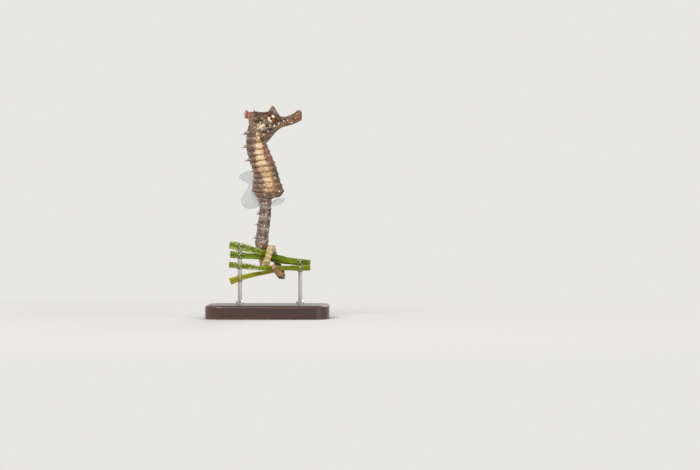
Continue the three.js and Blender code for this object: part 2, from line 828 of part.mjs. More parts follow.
function add(name, geometry, material) {
  const mesh = new THREE.Mesh(geometry, material);
  mesh.name = name;
  seahorse.add(mesh);
}

function addSeahorse() {
  const lengths = bodyLengths();
  const { head, snout, covers, neck } = headSolids(lengths.get("neck"));
  lengths.set("neck", neck);
  const skull = { head, snout, gill_cover_left: covers[0], gill_cover_right: covers[1] };
  Object.entries(skull).forEach(([name, solid]) => add(name, geometryFrom(solid), SKIN));
  lengths.forEach((solid, name) => add(name, geometryFrom(solid), SKIN));
  add("eye_left", eyeGeometry(1), EYEBALL);
  add("eye_right", eyeGeometry(-1), EYEBALL);
  const flesh = [head, snout, ...covers, ...lengths.values()];
  add("coronet", geometryFrom(clearOf(coronetSolid(), flesh)), CROWN);
  const fins = {
    fin_dorsal: [dorsalRoot(), DORSAL_FIN.rim.map(at), 17, 3],
    fin_anal: [ANAL_FIN.root.map(at), ANAL_FIN.rim.map(at), 6, 2],
    fin_pectoral_left: [PECTORAL_FIN.root.map(at), PECTORAL_FIN.rim.map(at), 10, 2],
    fin_pectoral_right: [
      mirrored(PECTORAL_FIN.root).map(at),
      mirrored(PECTORAL_FIN.rim).map(at),
      10,
      2,
    ],
  };
  Object.entries(fins).forEach(([name, fan]) => {
    add(name, geometryFrom(clearOf(finSolid(...fan), flesh)), FIN);
  });
}

function addPerch() {
  Object.entries(LEAVES).forEach(([name, points]) => {
    add(name, geometryFrom(leafSolid(points)), name === "leaf_bottom" ? LEAF_YELLOW : LEAF_GREEN);
  });
}

function addStand() {
  add("stand_base", geometryFrom(baseSolid()), WOOD);
  Object.entries(RODS).forEach(([name, rod]) => add(name, rodGeometry(rod), STEEL));
}

addSeahorse();
addPerch();
addStand();

export default seahorse;
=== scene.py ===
"""Dresses the seahorse on its stand: one skin over the body, eyes, clear fins, seagrass leaves and stand."""

import math

import bpy
import numpy as np
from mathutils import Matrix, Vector, kdtree, noise


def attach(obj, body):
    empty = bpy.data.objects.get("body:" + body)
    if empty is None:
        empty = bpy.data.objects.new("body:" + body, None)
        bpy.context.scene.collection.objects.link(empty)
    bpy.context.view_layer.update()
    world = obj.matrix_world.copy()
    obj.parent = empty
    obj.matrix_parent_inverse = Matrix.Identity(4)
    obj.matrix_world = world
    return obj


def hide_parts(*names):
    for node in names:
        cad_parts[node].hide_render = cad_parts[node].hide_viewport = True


bl_info = {
    "name": "Seahorse on a Stand",
    "version": (1, 0, 0),
    "blender": (4, 5, 0),
    "location": "View3D > Sidebar > Seahorse",
    "description": "Builds a life-size seahorse, its seagrass perch and its display stand",
    "category": "Object",
}

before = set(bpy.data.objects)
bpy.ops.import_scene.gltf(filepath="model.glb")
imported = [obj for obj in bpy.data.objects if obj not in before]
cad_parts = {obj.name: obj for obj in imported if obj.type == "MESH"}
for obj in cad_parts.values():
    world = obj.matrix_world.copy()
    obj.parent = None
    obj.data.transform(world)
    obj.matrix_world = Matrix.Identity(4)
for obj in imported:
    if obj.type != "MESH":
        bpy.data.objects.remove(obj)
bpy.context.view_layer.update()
MM = 0.001  # the shapes below are in millimetres

# ---------------------------------------------------------------- sizes and places, in millimetres
# The solids' own numbers, and more of them for what is finer than the solids, such as the relief, the
# collars and the ties. TAIL_SLIP and the first row of HOLD lie up to 0.3 mm further back than the solids do.

BODY_LINE = [
    # x and z of the body's middle, from the head down to the leaves
    (-3.7, 58.4), (-3.55, 55.9), (-3.55, 53.5), (-3.35, 50.9), (-2.35, 47.95), (-1.45, 45.0),
    (-0.6, 42.05), (-0.2, 39.1), (-0.2, 37.05), (-0.6, 35.0), (-0.75, 33.25), (-0.8, 31.2),
    (-1.05, 28.8), (-1.4, 26.45), (-1.65, 24.4),
]
TAIL_SLIP = [(-1.85, 0.5, 22.4), (-2.05, 1.3, 20.4)]  # the way behind the leaves: x, y, z
HOLD = [
    # turns round the leaves, x, middle y, middle z, half depth, half height
    (0, -1.9, -0.35, 18.6, 2.2, 3.1), (0.25, -0.95, -0.35, 18.5, 2.2, 3.02),
    (0.5, 0.3, -0.4, 18.4, 2.1, 2.45), (0.75, 1.2, -0.5, 18.4, 2.0, 2.2),
    (0.875, 1.45, -0.55, 17.9, 2.0, 2.4), (1, 2.2, -0.6, 17.0, 2.05, 2.8),
    (1.125, 3.65, -0.75, 16.0, 2.25, 3.1), (1.25, 4.2, -0.9, 15.35, 2.35, 3.0),
    (1.375, 3.4, -1.0, 14.8, 2.5, 2.5), (1.5, 2.2, -1.0, 14.4, 2.5, 2.0),
    (1.62, 1.35, -0.9, 14.6, 3.65, 2.0),
]
HOLD_POINTS = 28
RING_START = 3  # where ring 0 lies along the body's line
TRUNK_RINGS = 11
TRUNK_RING = 1.76  # length of each ring of the trunk
TAIL_RING = 1.25  # length of the tail's first ring
TAIL_SHRINK = 0.995  # length of a ring of the tail, as a share of the one before
FIRST_RING = -1.7
LAST_RING = 52.2
RING_TILT = 0.6  # 0 leaves the rings square to the body's line, 1 makes them level
RING_PIVOT = 3  # distance behind the body's line where the tilt starts
TAIL_FROM, TAIL_BY = 11.3, 13.5  # rings between which the trunk's section turns into the tail's
GIRTH = [
    # ring, reach of the back, reach of the belly, half width
    (-2.0, 1.7, 1.4, 1.3), (-0.8, 2.15, 2.2, 1.75), (0.4, 2.75, 2.9, 2.05), (1.4, 2.95, 3.25, 2.2),
    (2.4, 3.2, 3.0, 2.25), (3.4, 3.42, 3.05, 2.3), (4.9, 3.63, 3.32, 2.4), (6.4, 3.58, 3.63, 2.5),
    (7.9, 3.87, 3.76, 2.6), (8.9, 4.35, 4.0, 2.7), (9.9, 4.6, 4.6, 2.7), (10.5, 4.62, 4.95, 2.6),
    (11, 4.5, 4.2, 2.45), (11.55, 3.89, 2.5, 2.2), (12.05, 3.16, 1.95, 2.0), (12.55, 2.58, 1.9, 1.85),
    (13.5, 1.95, 1.85, 1.7), (14.5, 1.8, 1.75, 1.62), (18.5, 1.92, 1.88, 1.6), (21.5, 1.82, 1.78, 1.55),
    (24.5, 1.55, 1.5, 1.42), (27.5, 1.32, 1.28, 1.25), (30.5, 1.15, 1.12, 1.12), (33.5, 1.07, 1.05, 1.06),
    (37.5, 1.0, 1.0, 1.0), (42.5, 1.0, 1.0, 0.98), (46.5, 1.0, 1.0, 0.98), (49, 0.94, 0.94, 0.92),
    (51, 0.82, 0.82, 0.8), (52.2, 0.6, 0.6, 0.58),
]
PLACES = 14  # places round a section: 0 is the middle of the back, 7 the keel
# half sections, from the back to the keel: across and up, as shares of the girth
TRUNK_SECTION = [
    (0, 0.9), (0.56, 1), (0.8, 0.58), (1, 0.14), (0.88, -0.28), (0.74, -0.66), (0.34, -0.82), (0, -1),
]
TAIL_SECTION = [
    (0, 0.86), (0.96, 0.98), (0.86, 0.48), (0.84, 0), (0.86, -0.48), (0.96, -0.98), (0.5, -0.88),
    (0, -0.86),
]
SECTION_STEPS = 24  # fine steps from one place to the next
SECTION_ROUNDING = 0.34  # how far the corners are rounded, in places
UPPER_RIDGE, SIDE_RIDGE, LOWER_RIDGE, KEEL = 1, 3, 5, 7
RELIEF = {"groove": 0.12, "ridge": 0.05, "trunk_knob": 0.3, "tail_knob": 0.24, "half_width": 2.4}
SPINES = [
    # ring, ridge, length, how far the tip stands up
    (0, UPPER_RIDGE, 1.6, -0.8), (2, UPPER_RIDGE, 1.6, 0), (4, UPPER_RIDGE, 1.5, -0.2),
    (6, UPPER_RIDGE, 0.7, 0), (10, UPPER_RIDGE, 0.5, -0.3), (0, SIDE_RIDGE, 0.8, 0),
    (3, SIDE_RIDGE, 0.8, 0), (6, SIDE_RIDGE, 0.8, 0), (9, SIDE_RIDGE, 0.9, 0), (8, LOWER_RIDGE, 0.6, 0),
    (10, LOWER_RIDGE, 0.7, 0), (13, UPPER_RIDGE, 0.9, -0.6), (15, UPPER_RIDGE, 1.2, -0.9),
    (18, UPPER_RIDGE, 1.2, -0.4), (21, UPPER_RIDGE, 1.0, -0.5), (31, UPPER_RIDGE, 0.4, 0),
]
SPINE = {"radius": 0.46, "hollow": 0.1, "blunt": 0.2, "sunk": 0.3, "short_by": 0.02}
EYE = {"x": 1.1, "z": 58.5, "radius": 1.32, "depth": 0.95, "apart": 1.6}
HEAD_OUTLINE = [
    # ahead of the eye, crown above it, throat below it, half width
    (-6.8, 1.3, 1.4, 1.1), (-6.2, 1.85, 2.1, 1.5), (-5.4, 2.1, 3.0, 1.85), (-4.6, 2.2, 4.3, 2.1),
    (-2.9, 2.06, 6.4, 2.3), (-1.9, 2.1, 7.1, 2.25), (-1.1, 2.3, 6.5, 2.2), (-0.2, 2.5, 5.55, 2.15),
    (0.7, 2.4, 4.4, 2.0), (1.85, 1.65, 3.25, 1.6), (2.8, 0.85, 2.6, 1.3), (3.9, 0.72, 2.2, 1.1),
    (5.2, 1.15, 1.85, 1.02), (6.25, 1.62, 1.5, 1.0), (7.4, 2.4, 1.05, 1.05), (8.1, 2.75, 0.75, 1.15),
    (8.7, 2.4, 0.35, 0.95),
]
HEAD_SPINES = [
    # root, tip (ahead, up, out), radius, how hollow the flank is
    ((-0.35, 1.2, 1.0), (0.3, 3.9, 1.15), 1.15, 0.0),
    ((1.1, 1.0, 0.8), (0.45, 3.8, 1.1), 1.15, 0.0),
    ((0.6, 0.9, 0.0), (0.95, 2.95, 0.0), 0.9, 0.0),
    ((-5.0, 1.2, 0.45), (-5.15, 2.8, 0.7), 0.65, 0.1),
    ((-1.2, -5.3, 0.9), (-1.35, -6.9, 1.15), 0.5, 0.22),
]
GILL_COVER = {"ahead": -3.0, "down": 3.0, "long": 2.1, "tall": 2.6, "bulge": 1.3, "apart": 1.35, "turn": 0.35}
CORONET = {
    # lean in degrees; the points above and underneath sag, and those underneath are shorter
    "root": (-4.5, 59.5), "lean": 86, "length": 2.6, "waist": 1.05, "rim": 1.05, "points": 5, "point": 0.7,
    "lift": 0.7, "sag": 1.8, "flat": 0.9, "point_root": 0.82, "point_radius": 0.36, "low_rim": 0.15,
    "low_point": 0.7,
}
DORSAL_ROOT = (7.4, 13.45)  # first and last ring; the fins' other edges are x, y, z
DORSAL_RIM = [
    (-5.9, 0, 43.4), (-7.5, 0.2, 42.6), (-8.6, 0.5, 41.6), (-7.8, 0.9, 40.6), (-5.9, 0.9, 39.4),
    (-6.1, 0.4, 38.3), (-7.2, -0.2, 36.5), (-7.9, -0.6, 35.0), (-7.7, -0.5, 33.5), (-6.9, 0, 32.4),
    (-5.0, 0.2, 32.1), (-3.2, 0, 32.4),
]
ANAL_ROOT = [(3.0, 0, 35.1), (1.9, 0, 34.75), (1.0, 0, 33.9)]
ANAL_RIM = [(5.2, 0.1, 35.5), (4.7, 0.25, 34.2), (3.6, 0.3, 33.4), (2.4, 0.2, 33.0), (1.2, 0, 32.9)]
PECTORAL_ROOT = [(-3.9, 2.1, 55.9), (-3.95, 2.3, 54.9), (-3.8, 2.3, 53.8)]
PECTORAL_RIM = [
    (-4.9, 2.4, 56.6), (-5.8, 2.8, 55.8), (-6.15, 3.0, 54.6), (-5.8, 3.0, 53.4), (-4.8, 2.8, 52.8),
]
LEAVES = {
    # x, y, z and width along each leaf
    "leaf_top": [
        (-11.4, 1.0, 21.5, 2.3), (-8.4, 0.65, 21.0, 2.2), (-5.3, -0.2, 20.3, 1.9), (-2.6, -1.15, 19.55, 1.7),
        (-0.8, -0.75, 19.05, 1.65), (3.5, -0.75, 17.6, 1.7), (6.6, -0.3, 16.9, 1.7), (9.4, 0.5, 16.5, 1.75),
        (12.4, 1.3, 16.2, 1.7),
    ],
    "leaf_upper": [
        (-11.2, 1.0, 18.7, 2.05), (-8.4, 0.65, 18.45, 1.9), (-5.3, 0.2, 18.2, 1.8), (-2.6, -0.12, 18.0, 1.6),
        (-0.8, -0.08, 17.75, 1.55), (1.2, -0.1, 17.3, 1.6), (3.5, -0.1, 16.85, 1.6), (6.6, 0.45, 16.5, 1.6),
        (9.4, 1.3, 16.3, 1.6), (12.2, 2.1, 16.05, 1.6),
    ],
    "leaf_lower": [
        (-11.5, 0.6, 15.65, 1.8), (-8.4, 0.65, 15.35, 1.75), (-5.3, -0.6, 15.07, 1.6),
        (-2.6, -2.85, 14.75, 1.35), (-0.6, -3.2, 14.7, 1.35), (1.2, -2.58, 14.66, 1.32),
        (3.5, -1.4, 14.7, 1.35), (6.6, -0.5, 14.7, 1.5), (9.4, 0.2, 14.7, 1.7), (12.4, -0.1, 14.75, 1.5),
    ],
    "leaf_bottom": [
        (-11.2, 0.5, 10.7, 2.05), (-8.4, 0.65, 11.65, 1.65), (-5.3, 0.3, 12.5, 1.4), (-2.35, -0.2, 13.1, 1.2),
        (0.9, -0.65, 13.7, 1.1), (3.5, -0.7, 14.35, 1.1), (6.6, 0.25, 14.6, 1.05), (9.4, 1.3, 14.6, 1.0),
        (11.0, 1.3, 14.6, 0.9),
    ],
}
LEAF_THICK = 0.5
BASE = {"length": 36, "width": 24, "height": 4, "corner": 5, "bevel": 0.8, "foot": 0.15}
RODS = {"stand_rod_left": (-8.4, 1.6, 22), "stand_rod_right": (9.4, 2.3, 17.3)}  # x, y, top
ROD = {
    "radius": 0.6, "collar": 1.25, "collar_height": 1.1, "collar_cone": 0.5, "collar_bevel": 0.15,
    "tip_height": 0.45, "tip_rows": 8,
}
TIE_RADIUS = 0.09
TIE_SLOPES = (52, -52)  # degrees; each tie crosses the leaves both ways
TIES = [
    # x, z, front, back, reach of each wire tie round a rod and the leaves in front of it
    (-8.4, 21.0, 0.2, 2.35, 1.55), (-8.4, 18.45, 0.2, 2.35, 1.4), (-8.4, 15.35, 0.2, 2.35, 1.3),
    (-8.4, 11.65, 0.2, 2.35, 1.25), (9.4, 16.4, 0.05, 3.05, 1.45), (9.4, 14.68, -0.25, 3.05, 1.3),
]
BODY_NODES = [
    "head", "snout", "gill_cover_left", "gill_cover_right", "coronet", "neck", "trunk_upper", "trunk_lower",
    "tail_root", "tail_upper", "tail_middle", "tail_behind_leaves", "tail_under_upper_leaves", "tail_front",
    "tail_over_leaves", "tail_down_behind", "tail_under_leaves", "tail_tip",
]

# how finely the pieces are made
SKULL_ROWS, SKULL_SIDES = 150, 96
SWEEP_ROWS_EACH_RING, SWEEP_SIDES = 14, 112
SAMPLE_ROWS_EACH_RING, SAMPLE_SIDES = 6, 56
CONE_ROWS, CONE_SIDES = 10, 14
CROWN_SIDES = 80
EYE_ROWS, EYE_SIDES = 40, 64
LEAF_ROWS, LEAF_SIDES = 260, 48
CORNER_STEPS = 12
LATHE_SIDES = 40
WIRE_ROWS, WIRE_SIDES = 48, 10
FLOOR_SIDES = 96
SHARP_ANGLE = math.radians(38)  # the stand's edges that turn by more than this stay sharp

# ---------------------------------------------------------------- small tools


def smooth(value, low, high):
    """0 before low, 1 after high, and an eased step between."""
    t = np.clip((value - low) / (high - low), 0.0, 1.0)
    return t * t * (3 - 2 * t)


def window(value, start, full, fade, end):
    """0 before start and after end, 1 from full to fade."""
    return smooth(value, start, full) * (1 - smooth(value, fade, end))


def hump(value, centre, width):
    """A bell that is 1 at the centre."""
    return np.exp(-(((value - centre) / width) ** 2))


def mix(a, b, share):
    """From a, at share 0, to b, at share 1."""
    return a * (1 - share) + b * share


def unit(rows):
    """Each row with its length made 1."""
    return rows / np.maximum(np.linalg.norm(rows, axis=-1, keepdims=True), 1e-12)


def full_turn(count):
    """Even angles once round, without the last."""
    return np.linspace(0, 2 * math.pi, count, endpoint=False)


def read_table(table, place):
    """Rows of (place, value, ...) read anywhere, with a smooth run between them."""
    rows = np.asarray(table, float)
    x, y = rows[:, 0], rows[:, 1:]
    ahead = np.minimum(np.arange(len(x)) + 1, len(x) - 1)
    behind = np.maximum(np.arange(len(x)) - 1, 0)
    slope = (y[ahead] - y[behind]) / (x[ahead] - x[behind])[:, None]
    place = np.atleast_1d(np.asarray(place, float))
    i = np.clip(np.searchsorted(x, place, side="right") - 1, 0, len(x) - 2)
    width = (x[i + 1] - x[i])[:, None]
    t = np.clip((place - x[i])[:, None] / width, 0, 1)
    t2, t3 = t * t, t * t * t
    return (
        (2 * t3 - 3 * t2 + 1) * y[i]
        + (t3 - 2 * t2 + t) * width * slope[i]
        + (3 * t2 - 2 * t3) * y[i + 1]
        + (t3 - t2) * width * slope[i + 1]
    )


def smooth_line(points, per_span=40):
    """A centripetal line through the points, as many close points."""
    p = np.asarray(points, float)
    p = np.vstack([2 * p[0] - p[1], p, 2 * p[-1] - p[-2]])
    out = []
    for a, b, c, d in zip(p[:-3], p[1:-2], p[2:-1], p[3:]):
        ab, bc, cd = (max(np.linalg.norm(q - o) ** 0.5, 1e-4) for o, q in ((a, b), (b, c), (c, d)))
        start = ((b - a) / ab - (c - a) / (ab + bc) + (c - b) / bc) * bc
        end = ((c - b) / bc - (d - b) / (bc + cd) + (d - c) / cd) * bc
        t = np.linspace(0, 1, per_span, endpoint=False)[:, None]
        out.append(
            b + start * t + (-3 * b + 3 * c - 2 * start - end) * t**2 + (2 * b - 2 * c + start + end) * t**3
        )
    out.append(p[-2:-1])
    return np.vstack(out)


class Line:
    """A smooth line that is read by distance or by share of its length."""

    def __init__(self, points):
        self.points = smooth_line(points)
        self.places = np.linspace(0, len(points) - 1, len(self.points))  # which of the given points
        steps = np.linalg.norm(np.diff(self.points, axis=0), axis=1)
        self.distance = np.concatenate([[0], np.cumsum(steps)])
        self.length = self.distance[-1]
        self.tangents = unit(np.gradient(self.points, self.distance, axis=0))

    def read(self, rows, distance):
        """Rows that belong to the line's points, read at some distances."""
        return np.stack([np.interp(distance, self.distance, column) for column in rows.T], axis=-1)

    def at(self, distance):
        """Points of the line at some distances."""
        return self.read(self.points, distance)

    def along(self, distance):
        """Directions of the line at some distances."""
        return unit(self.read(self.tangents, distance))


def grid_faces(rows, columns):
    """Quads over a grid of rows by columns, the last column joined to the first."""
    i = np.arange(rows - 1)[:, None]
    j = np.arange(columns)[None, :]
    k = (j + 1) % columns
    here, below = i * columns, (i + 1) * columns
    return np.stack([here + j, here + k, below + k, below + j], axis=-1).reshape(-1, 4).tolist()


def loft(sections):
    """A closed mesh through rows of section points: (points, faces)."""
    sections = np.asarray(sections, float)
    rows, columns = sections.shape[:2]
    points = np.vstack([sections.reshape(-1, 3), sections[0].mean(0), sections[-1].mean(0)])
    faces = grid_faces(rows, columns)
    first, last = rows * columns, rows * columns + 1
    for j in range(columns):
        k = (j + 1) % columns
        faces.append([first, k, j])
        faces.append([last, (rows - 1) * columns + j, (rows - 1) * columns + k])
    return points, faces


def cone(root, tip, radius, hollow=0.22, blunt=0.12):
    """A spine: a cone with a blunt tip, its flank more or less hollow."""
    root, tip = np.asarray(root, float), np.asarray(tip, float)
    axis = unit(tip - root)
    side = unit(np.cross(axis, (0.3, 0.9, 0.2)))
    up = np.cross(axis, side)
    turn = full_turn(CONE_SIDES)
    ring = np.cos(turn)[:, None] * side + np.sin(turn)[:, None] * up
    sections = []
    for share in np.linspace(0, 1, CONE_ROWS):
        reach = radius * (mix(1, blunt, share) - hollow * math.sin(math.pi * share) * (1 - share))
        sections.append(mix(root, tip, share) + ring * reach)
    return loft(sections)


def ball(centre, size, turn=0.0, sides=48, rows=32):
    """A ball stretched to size, its poles towards Y, turned about Y."""
    polar = np.linspace(0.02, math.pi - 0.02, rows)
    round_ = full_turn(sides)
    x = np.sin(polar)[:, None] * np.cos(round_) * size[0]
    y = np.repeat(np.cos(polar)[:, None], sides, axis=1) * size[1]
    z = np.sin(polar)[:, None] * np.sin(round_) * size[2]
    c, s = math.cos(turn), math.sin(turn)
    return loft(np.stack([x * c + z * s, y, z * c - x * s], axis=-1) + np.asarray(centre, float))


def mesh_object(name, points, faces):
    """A new, smoothly shaded object from points in millimetres."""
    mesh = bpy.data.meshes.new(name)
    mesh.from_pydata((np.asarray(points) * MM).tolist(), [], [list(f) for f in faces])
    mesh.validate()
    mesh.update()
    mesh.shade_smooth()
    obj = bpy.data.objects.new(name, mesh)
    bpy.context.scene.collection.objects.link(obj)
    return obj


def give(obj, **masks):
    """Stores numbers for each point of the mesh, for its material to read by name."""
    for name, values in masks.items():
        attribute = obj.data.attributes.new(name, "FLOAT", "POINT")
        attribute.data.foreach_set("value", np.asarray(values, np.float32))


def joined(parts):
    """Several (points, faces) as one."""
    points, faces, start = [], [], 0
    for p, f in parts:
        points.append(p)
        faces.extend([[i + start for i in face] for face in f])
        start += len(p)
    return np.vstack(points), faces


def dress(obj, material, slot, *nodes):
    """Gives a piece its material and body, and hides the solids that it stands for. The slot is not used."""
    obj.data.materials.append(material)
    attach(obj, "root")
    if nodes:
        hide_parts(*nodes)


# ---------------------------------------------------------------- the body's own axes


def hold_points():
    """The tail's hold: turns round the leaves."""
    turn = np.linspace(0, HOLD[-1][0], HOLD_POINTS)
    x, y, z, half_depth, half_height = read_table(HOLD, turn).T
    angle = turn * 2 * math.pi
    return np.stack([x, y + half_depth * np.cos(angle), z - half_height * np.sin(angle)], axis=-1)


BODY = Line([(x, 0, z) for x, z in BODY_LINE] + TAIL_SLIP + hold_points().tolist())


def ring_distance(ring):
    """Where a ring lies along the body's line."""
    ring = np.asarray(ring, float)
    trunk = RING_START + np.minimum(ring, TRUNK_RINGS) * TRUNK_RING
    tail = TAIL_RING * (1 - TAIL_SHRINK ** np.maximum(ring - TRUNK_RINGS, 0)) / (1 - TAIL_SHRINK)
    return np.clip(trunk + tail, 0, BODY.length)


def body_axes(ring):
    """Middle, direction, back and right of the body at some rings. In its hold the tail's back faces out."""
    distance = ring_distance(ring)
    middle = BODY.at(distance)
    along = BODY.along(distance)
    first = len(BODY_LINE) + len(TAIL_SLIP)
    turn = (np.interp(distance, BODY.distance, BODY.places) - first) * HOLD[-1][0] / (HOLD_POINTS - 1)
    from_leaves = middle - read_table(HOLD, turn)[:, :3]
    from_leaves[:, 0] = 0
    back = mix(np.array([-1.0, 0, 0]), unit(from_leaves), smooth(turn, -0.3, 0.05)[:, None])
    back = unit(back - along * np.sum(back * along, axis=1, keepdims=True))
    return middle, along, back, np.cross(back, along)


def around_section(section, places):
    """A half section mirrored, rounded and read at any places."""
    half = np.asarray(section, float)
    whole = np.vstack([half, half[-2:0:-1] * (-1, 1)])
    fine = SECTION_STEPS
    closed = np.vstack([whole, whole[:1]])
    at = np.arange(PLACES * fine) / fine
    dense = np.stack([np.interp(at, np.arange(PLACES + 1), c) for c in closed.T], axis=-1)
    spread = np.exp(-((np.arange(-fine, fine + 1) / fine / SECTION_ROUNDING) ** 2))
    spread /= spread.sum()
    once = slice(PLACES * fine, 2 * PLACES * fine)
    rounded = np.stack([np.convolve(np.tile(c, 3), spread, "same")[once] for c in dense.T], axis=-1)
    rounded = np.vstack([rounded, rounded[:1]])
    at = np.arange(PLACES * fine + 1) / fine
    return np.stack([np.interp(np.mod(places, PLACES), at, c) for c in rounded.T], axis=-1)


def fold(place):
    """Places counted from the back to the keel on either side: 0 to 7."""
    return np.minimum(place, PLACES - place)


def ridge_shapes(ring, place):
    """How strongly each point belongs to a ring's crest, to a ridge, and to a tubercle."""
    part = ring - np.floor(ring)
    crest = hump(part, 0.5, 0.2)
    tail = smooth(ring, TAIL_FROM, TAIL_BY)
    ridges = [(UPPER_RIDGE, 1), (SIDE_RIDGE, 1 - tail), (LOWER_RIDGE, 1), (KEEL, (1 - tail) * 0.8)]
    ridge = sum(hump(fold(place), at, 0.42) * weight for at, weight in ridges)
    knob = sum(hump(fold(place), at, 0.3) * weight for at, weight in ridges) * hump(part, 0.5, 0.15)
    return crest, ridge, knob


def tilted(ring, height, back, along):
    """The ring whose crest passes here. The trunk's rings lie flatter than square to its line."""
    rise = (height - RING_PIVOT) * back[..., 2] / along[..., 2]
    return ring + RING_TILT * rise / TRUNK_RING * (1 - smooth(ring, TAIL_FROM - 2, TAIL_BY))


def body_sections(ring, place):
    """Section points for every ring and place, with bony rings, ridges and tubercles."""
    middle, along, back, right = body_axes(ring)
    girth = read_table(GIRTH, ring)
    tail = smooth(ring, TAIL_FROM, TAIL_BY)[:, None, None]
    shape = mix(around_section(TRUNK_SECTION, place)[None], around_section(TAIL_SECTION, place)[None], tail)
    across, height = shape[..., 0], shape[..., 1]
    tall = mix(girth[:, 1:2], girth[:, 0:1], smooth(height, -0.2, 0.2))
    out = (across * girth[:, 2:3])[..., None] * right[:, None] + (height * tall)[..., None] * back[:, None]
    out *= 1 - 0.16 * (smooth(ring, 26, 30)[:, None] * (across * height) ** 2)[..., None]
    rings, places = np.meshgrid(ring, place, indexing="ij")
    rings = tilted(rings, height * tall, back[:, None], along[:, None])
    crest, ridge, knob = ridge_shapes(rings, places)
    size = girth[:, 2:3] / RELIEF["half_width"]
    fade = smooth(rings, -1.5, 0.5) * (1 - smooth(rings, 38, 43) * 0.7)
    uneven = 0.75 + 0.25 * np.sin(rings * 2.1 + places * 1.7) * np.cos(places * 0.9 - rings * 0.6)
    knob_height = mix(RELIEF["trunk_knob"], RELIEF["tail_knob"], tail[..., 0])
    groove = RELIEF["groove"]
    relief = -groove + groove * uneven * crest + RELIEF["ridge"] * ridge + knob_height * uneven * knob
    return middle[:, None] + out + unit(out) * (fade * size * relief)[..., None]


def body_point(ring, place, side, lift=0.0):
    """One point of the body's surface, on the left side (1) or the right side (-1), or above it by lift."""
    ring = np.array([float(ring)])
    where = np.array([place if side > 0 else (PLACES - place) % PLACES], float)
    middle, _, _, _ = body_axes(ring)
    point = body_sections(ring, where)[0, 0]
    return point + unit(point - middle[0]) * lift


# ---------------------------------------------------------------- the skin's pieces


def head_section(ahead):
    """A section of the head at some distance ahead of the eye, narrower at its throat."""
    crown, throat, half = read_table(HEAD_OUTLINE, ahead)[0]
    wedge = float(smooth(-ahead, -3.2, 1.5)) * 0.35
    turn = full_turn(SKULL_SIDES)
    rise = np.cos(turn)
    height = mix(-throat, crown, (1 + rise) / 2)
    spread = np.sign(np.sin(turn)) * np.abs(np.sin(turn)) ** 0.8
    y = -spread * half * (1 - wedge * (1 - rise) * 0.5)
    return np.stack([np.full(SKULL_SIDES, EYE["x"] + ahead), y, EYE["z"] + height], axis=-1)


def skull():
    """Head and snout, with the lips rounded off."""
    sections = [head_section(a) for a in np.linspace(HEAD_OUTLINE[0][0], HEAD_OUTLINE[-1][0], SKULL_ROWS)]
    lips = sections[-1]
    for share, step in ((0.82, 0.1), (0.5, 0.16)):
        sections.append(mix(lips.mean(0), lips, share) + (step, 0, 0))
    return loft(sections)


def from_eyes(ahead, up, out=0.0):
    """A place given from the point between the eyes."""
    return np.array([EYE["x"] + ahead, out, EYE["z"] + up])


def eye_offsets(points):
    """How far ahead of the eye, out to the side and above the eye each point lies."""
    return points[:, 0] - EYE["x"], points[:, 1], points[:, 2] - EYE["z"]


def head_spines():
    """The short spines of the head, with the place and reach of their tips."""
    parts, tips = [], []
    for root, tip, radius, hollow in HEAD_SPINES:
        for side in (1, -1) if tip[2] else (1,):
            end = from_eyes(tip[0], tip[1], side * tip[2])
            tips.append((end, radius))
            parts.append(cone(from_eyes(root[0], root[1], side * root[2]), end, radius, hollow))
    return parts, tips


def gill_covers():
    """The two bulging gill covers."""
    size = (GILL_COVER["long"], GILL_COVER["bulge"], GILL_COVER["tall"])
    place = (GILL_COVER["ahead"], -GILL_COVER["down"])
    return [ball(from_eyes(*place, side * GILL_COVER["apart"]), size, GILL_COVER["turn"]) for side in (1, -1)]


def coronet_flare(turn):
    """How far the coronet's points rise: more at its sides than above and underneath."""
    return CORONET["lift"] * (1 - CORONET["sag"] * np.cos(turn) ** 2)


def coronet():
    """The crown: a waist that opens into a rim with points, leaning back from the nape."""
    lean = math.radians(CORONET["lean"])
    axis = np.array([-math.sin(lean), 0, math.cos(lean)])
    side = np.array([0.0, -1, 0])
    up = -np.cross(side, axis)
    root = np.array([CORONET["root"][0], 0, CORONET["root"][1]])
    turn = full_turn(CROWN_SIDES)
    star = np.maximum(np.cos(turn * CORONET["points"]), 0) ** 1.5
    waist, rim, point, flat = (CORONET[key] for key in ("waist", "rim", "point", "flat"))
    rows = [
        # share of the length, radius, points' reach, share of the points' lift, fuller underneath by
        (0, waist * 1.15, 0, 0, 0.6), (0.2, waist * 1.05, 0, 0, 0.45), (0.4, waist * 0.98, 0.05, 0, 0.25),
        (0.6, rim * 0.95, 0.14, 0, 0.0), (0.75, rim, point * 0.5, 0.3, -0.12),
        (0.86, rim, point * 0.8, 0.6, -0.15), (0.9, rim * 0.92, point * 0.6, 0.7, -0.15),
        (0.87, rim * 0.7, 0.1, 0.1, -0.15), (0.82, rim * 0.4, 0, 0, 0.0),
    ]
    under = np.maximum(-np.cos(turn), 0)
    sections = []
    for share, radius, reach, lift, fuller in smooth_line(rows, 6):
        r = radius * (1 + fuller * under) + reach * star * (1 - CORONET["low_point"] * under)
        push = CORONET["length"] * share + lift * coronet_flare(turn) * star
        across = (np.cos(turn) * r)[:, None] * up
        sections.append(root + push[:, None] * axis + across + (np.sin(turn) * r * flat)[:, None] * side)
    parts = [loft(sections)]
    for angle in full_turn(CORONET["points"]):
        way = math.cos(angle) * up + math.sin(angle) * flat * side
        low = max(-math.cos(angle), 0)
        base = root + axis * CORONET["length"] * CORONET["point_root"]
        base = base + way * rim * (1 - CORONET["low_rim"] * low)
        out = way * (point + 0.12) * (1 - CORONET["low_point"] * low)
        parts.append(cone(base, base + out + axis * (coronet_flare(angle) + 0.08), CORONET["point_radius"]))
    return parts


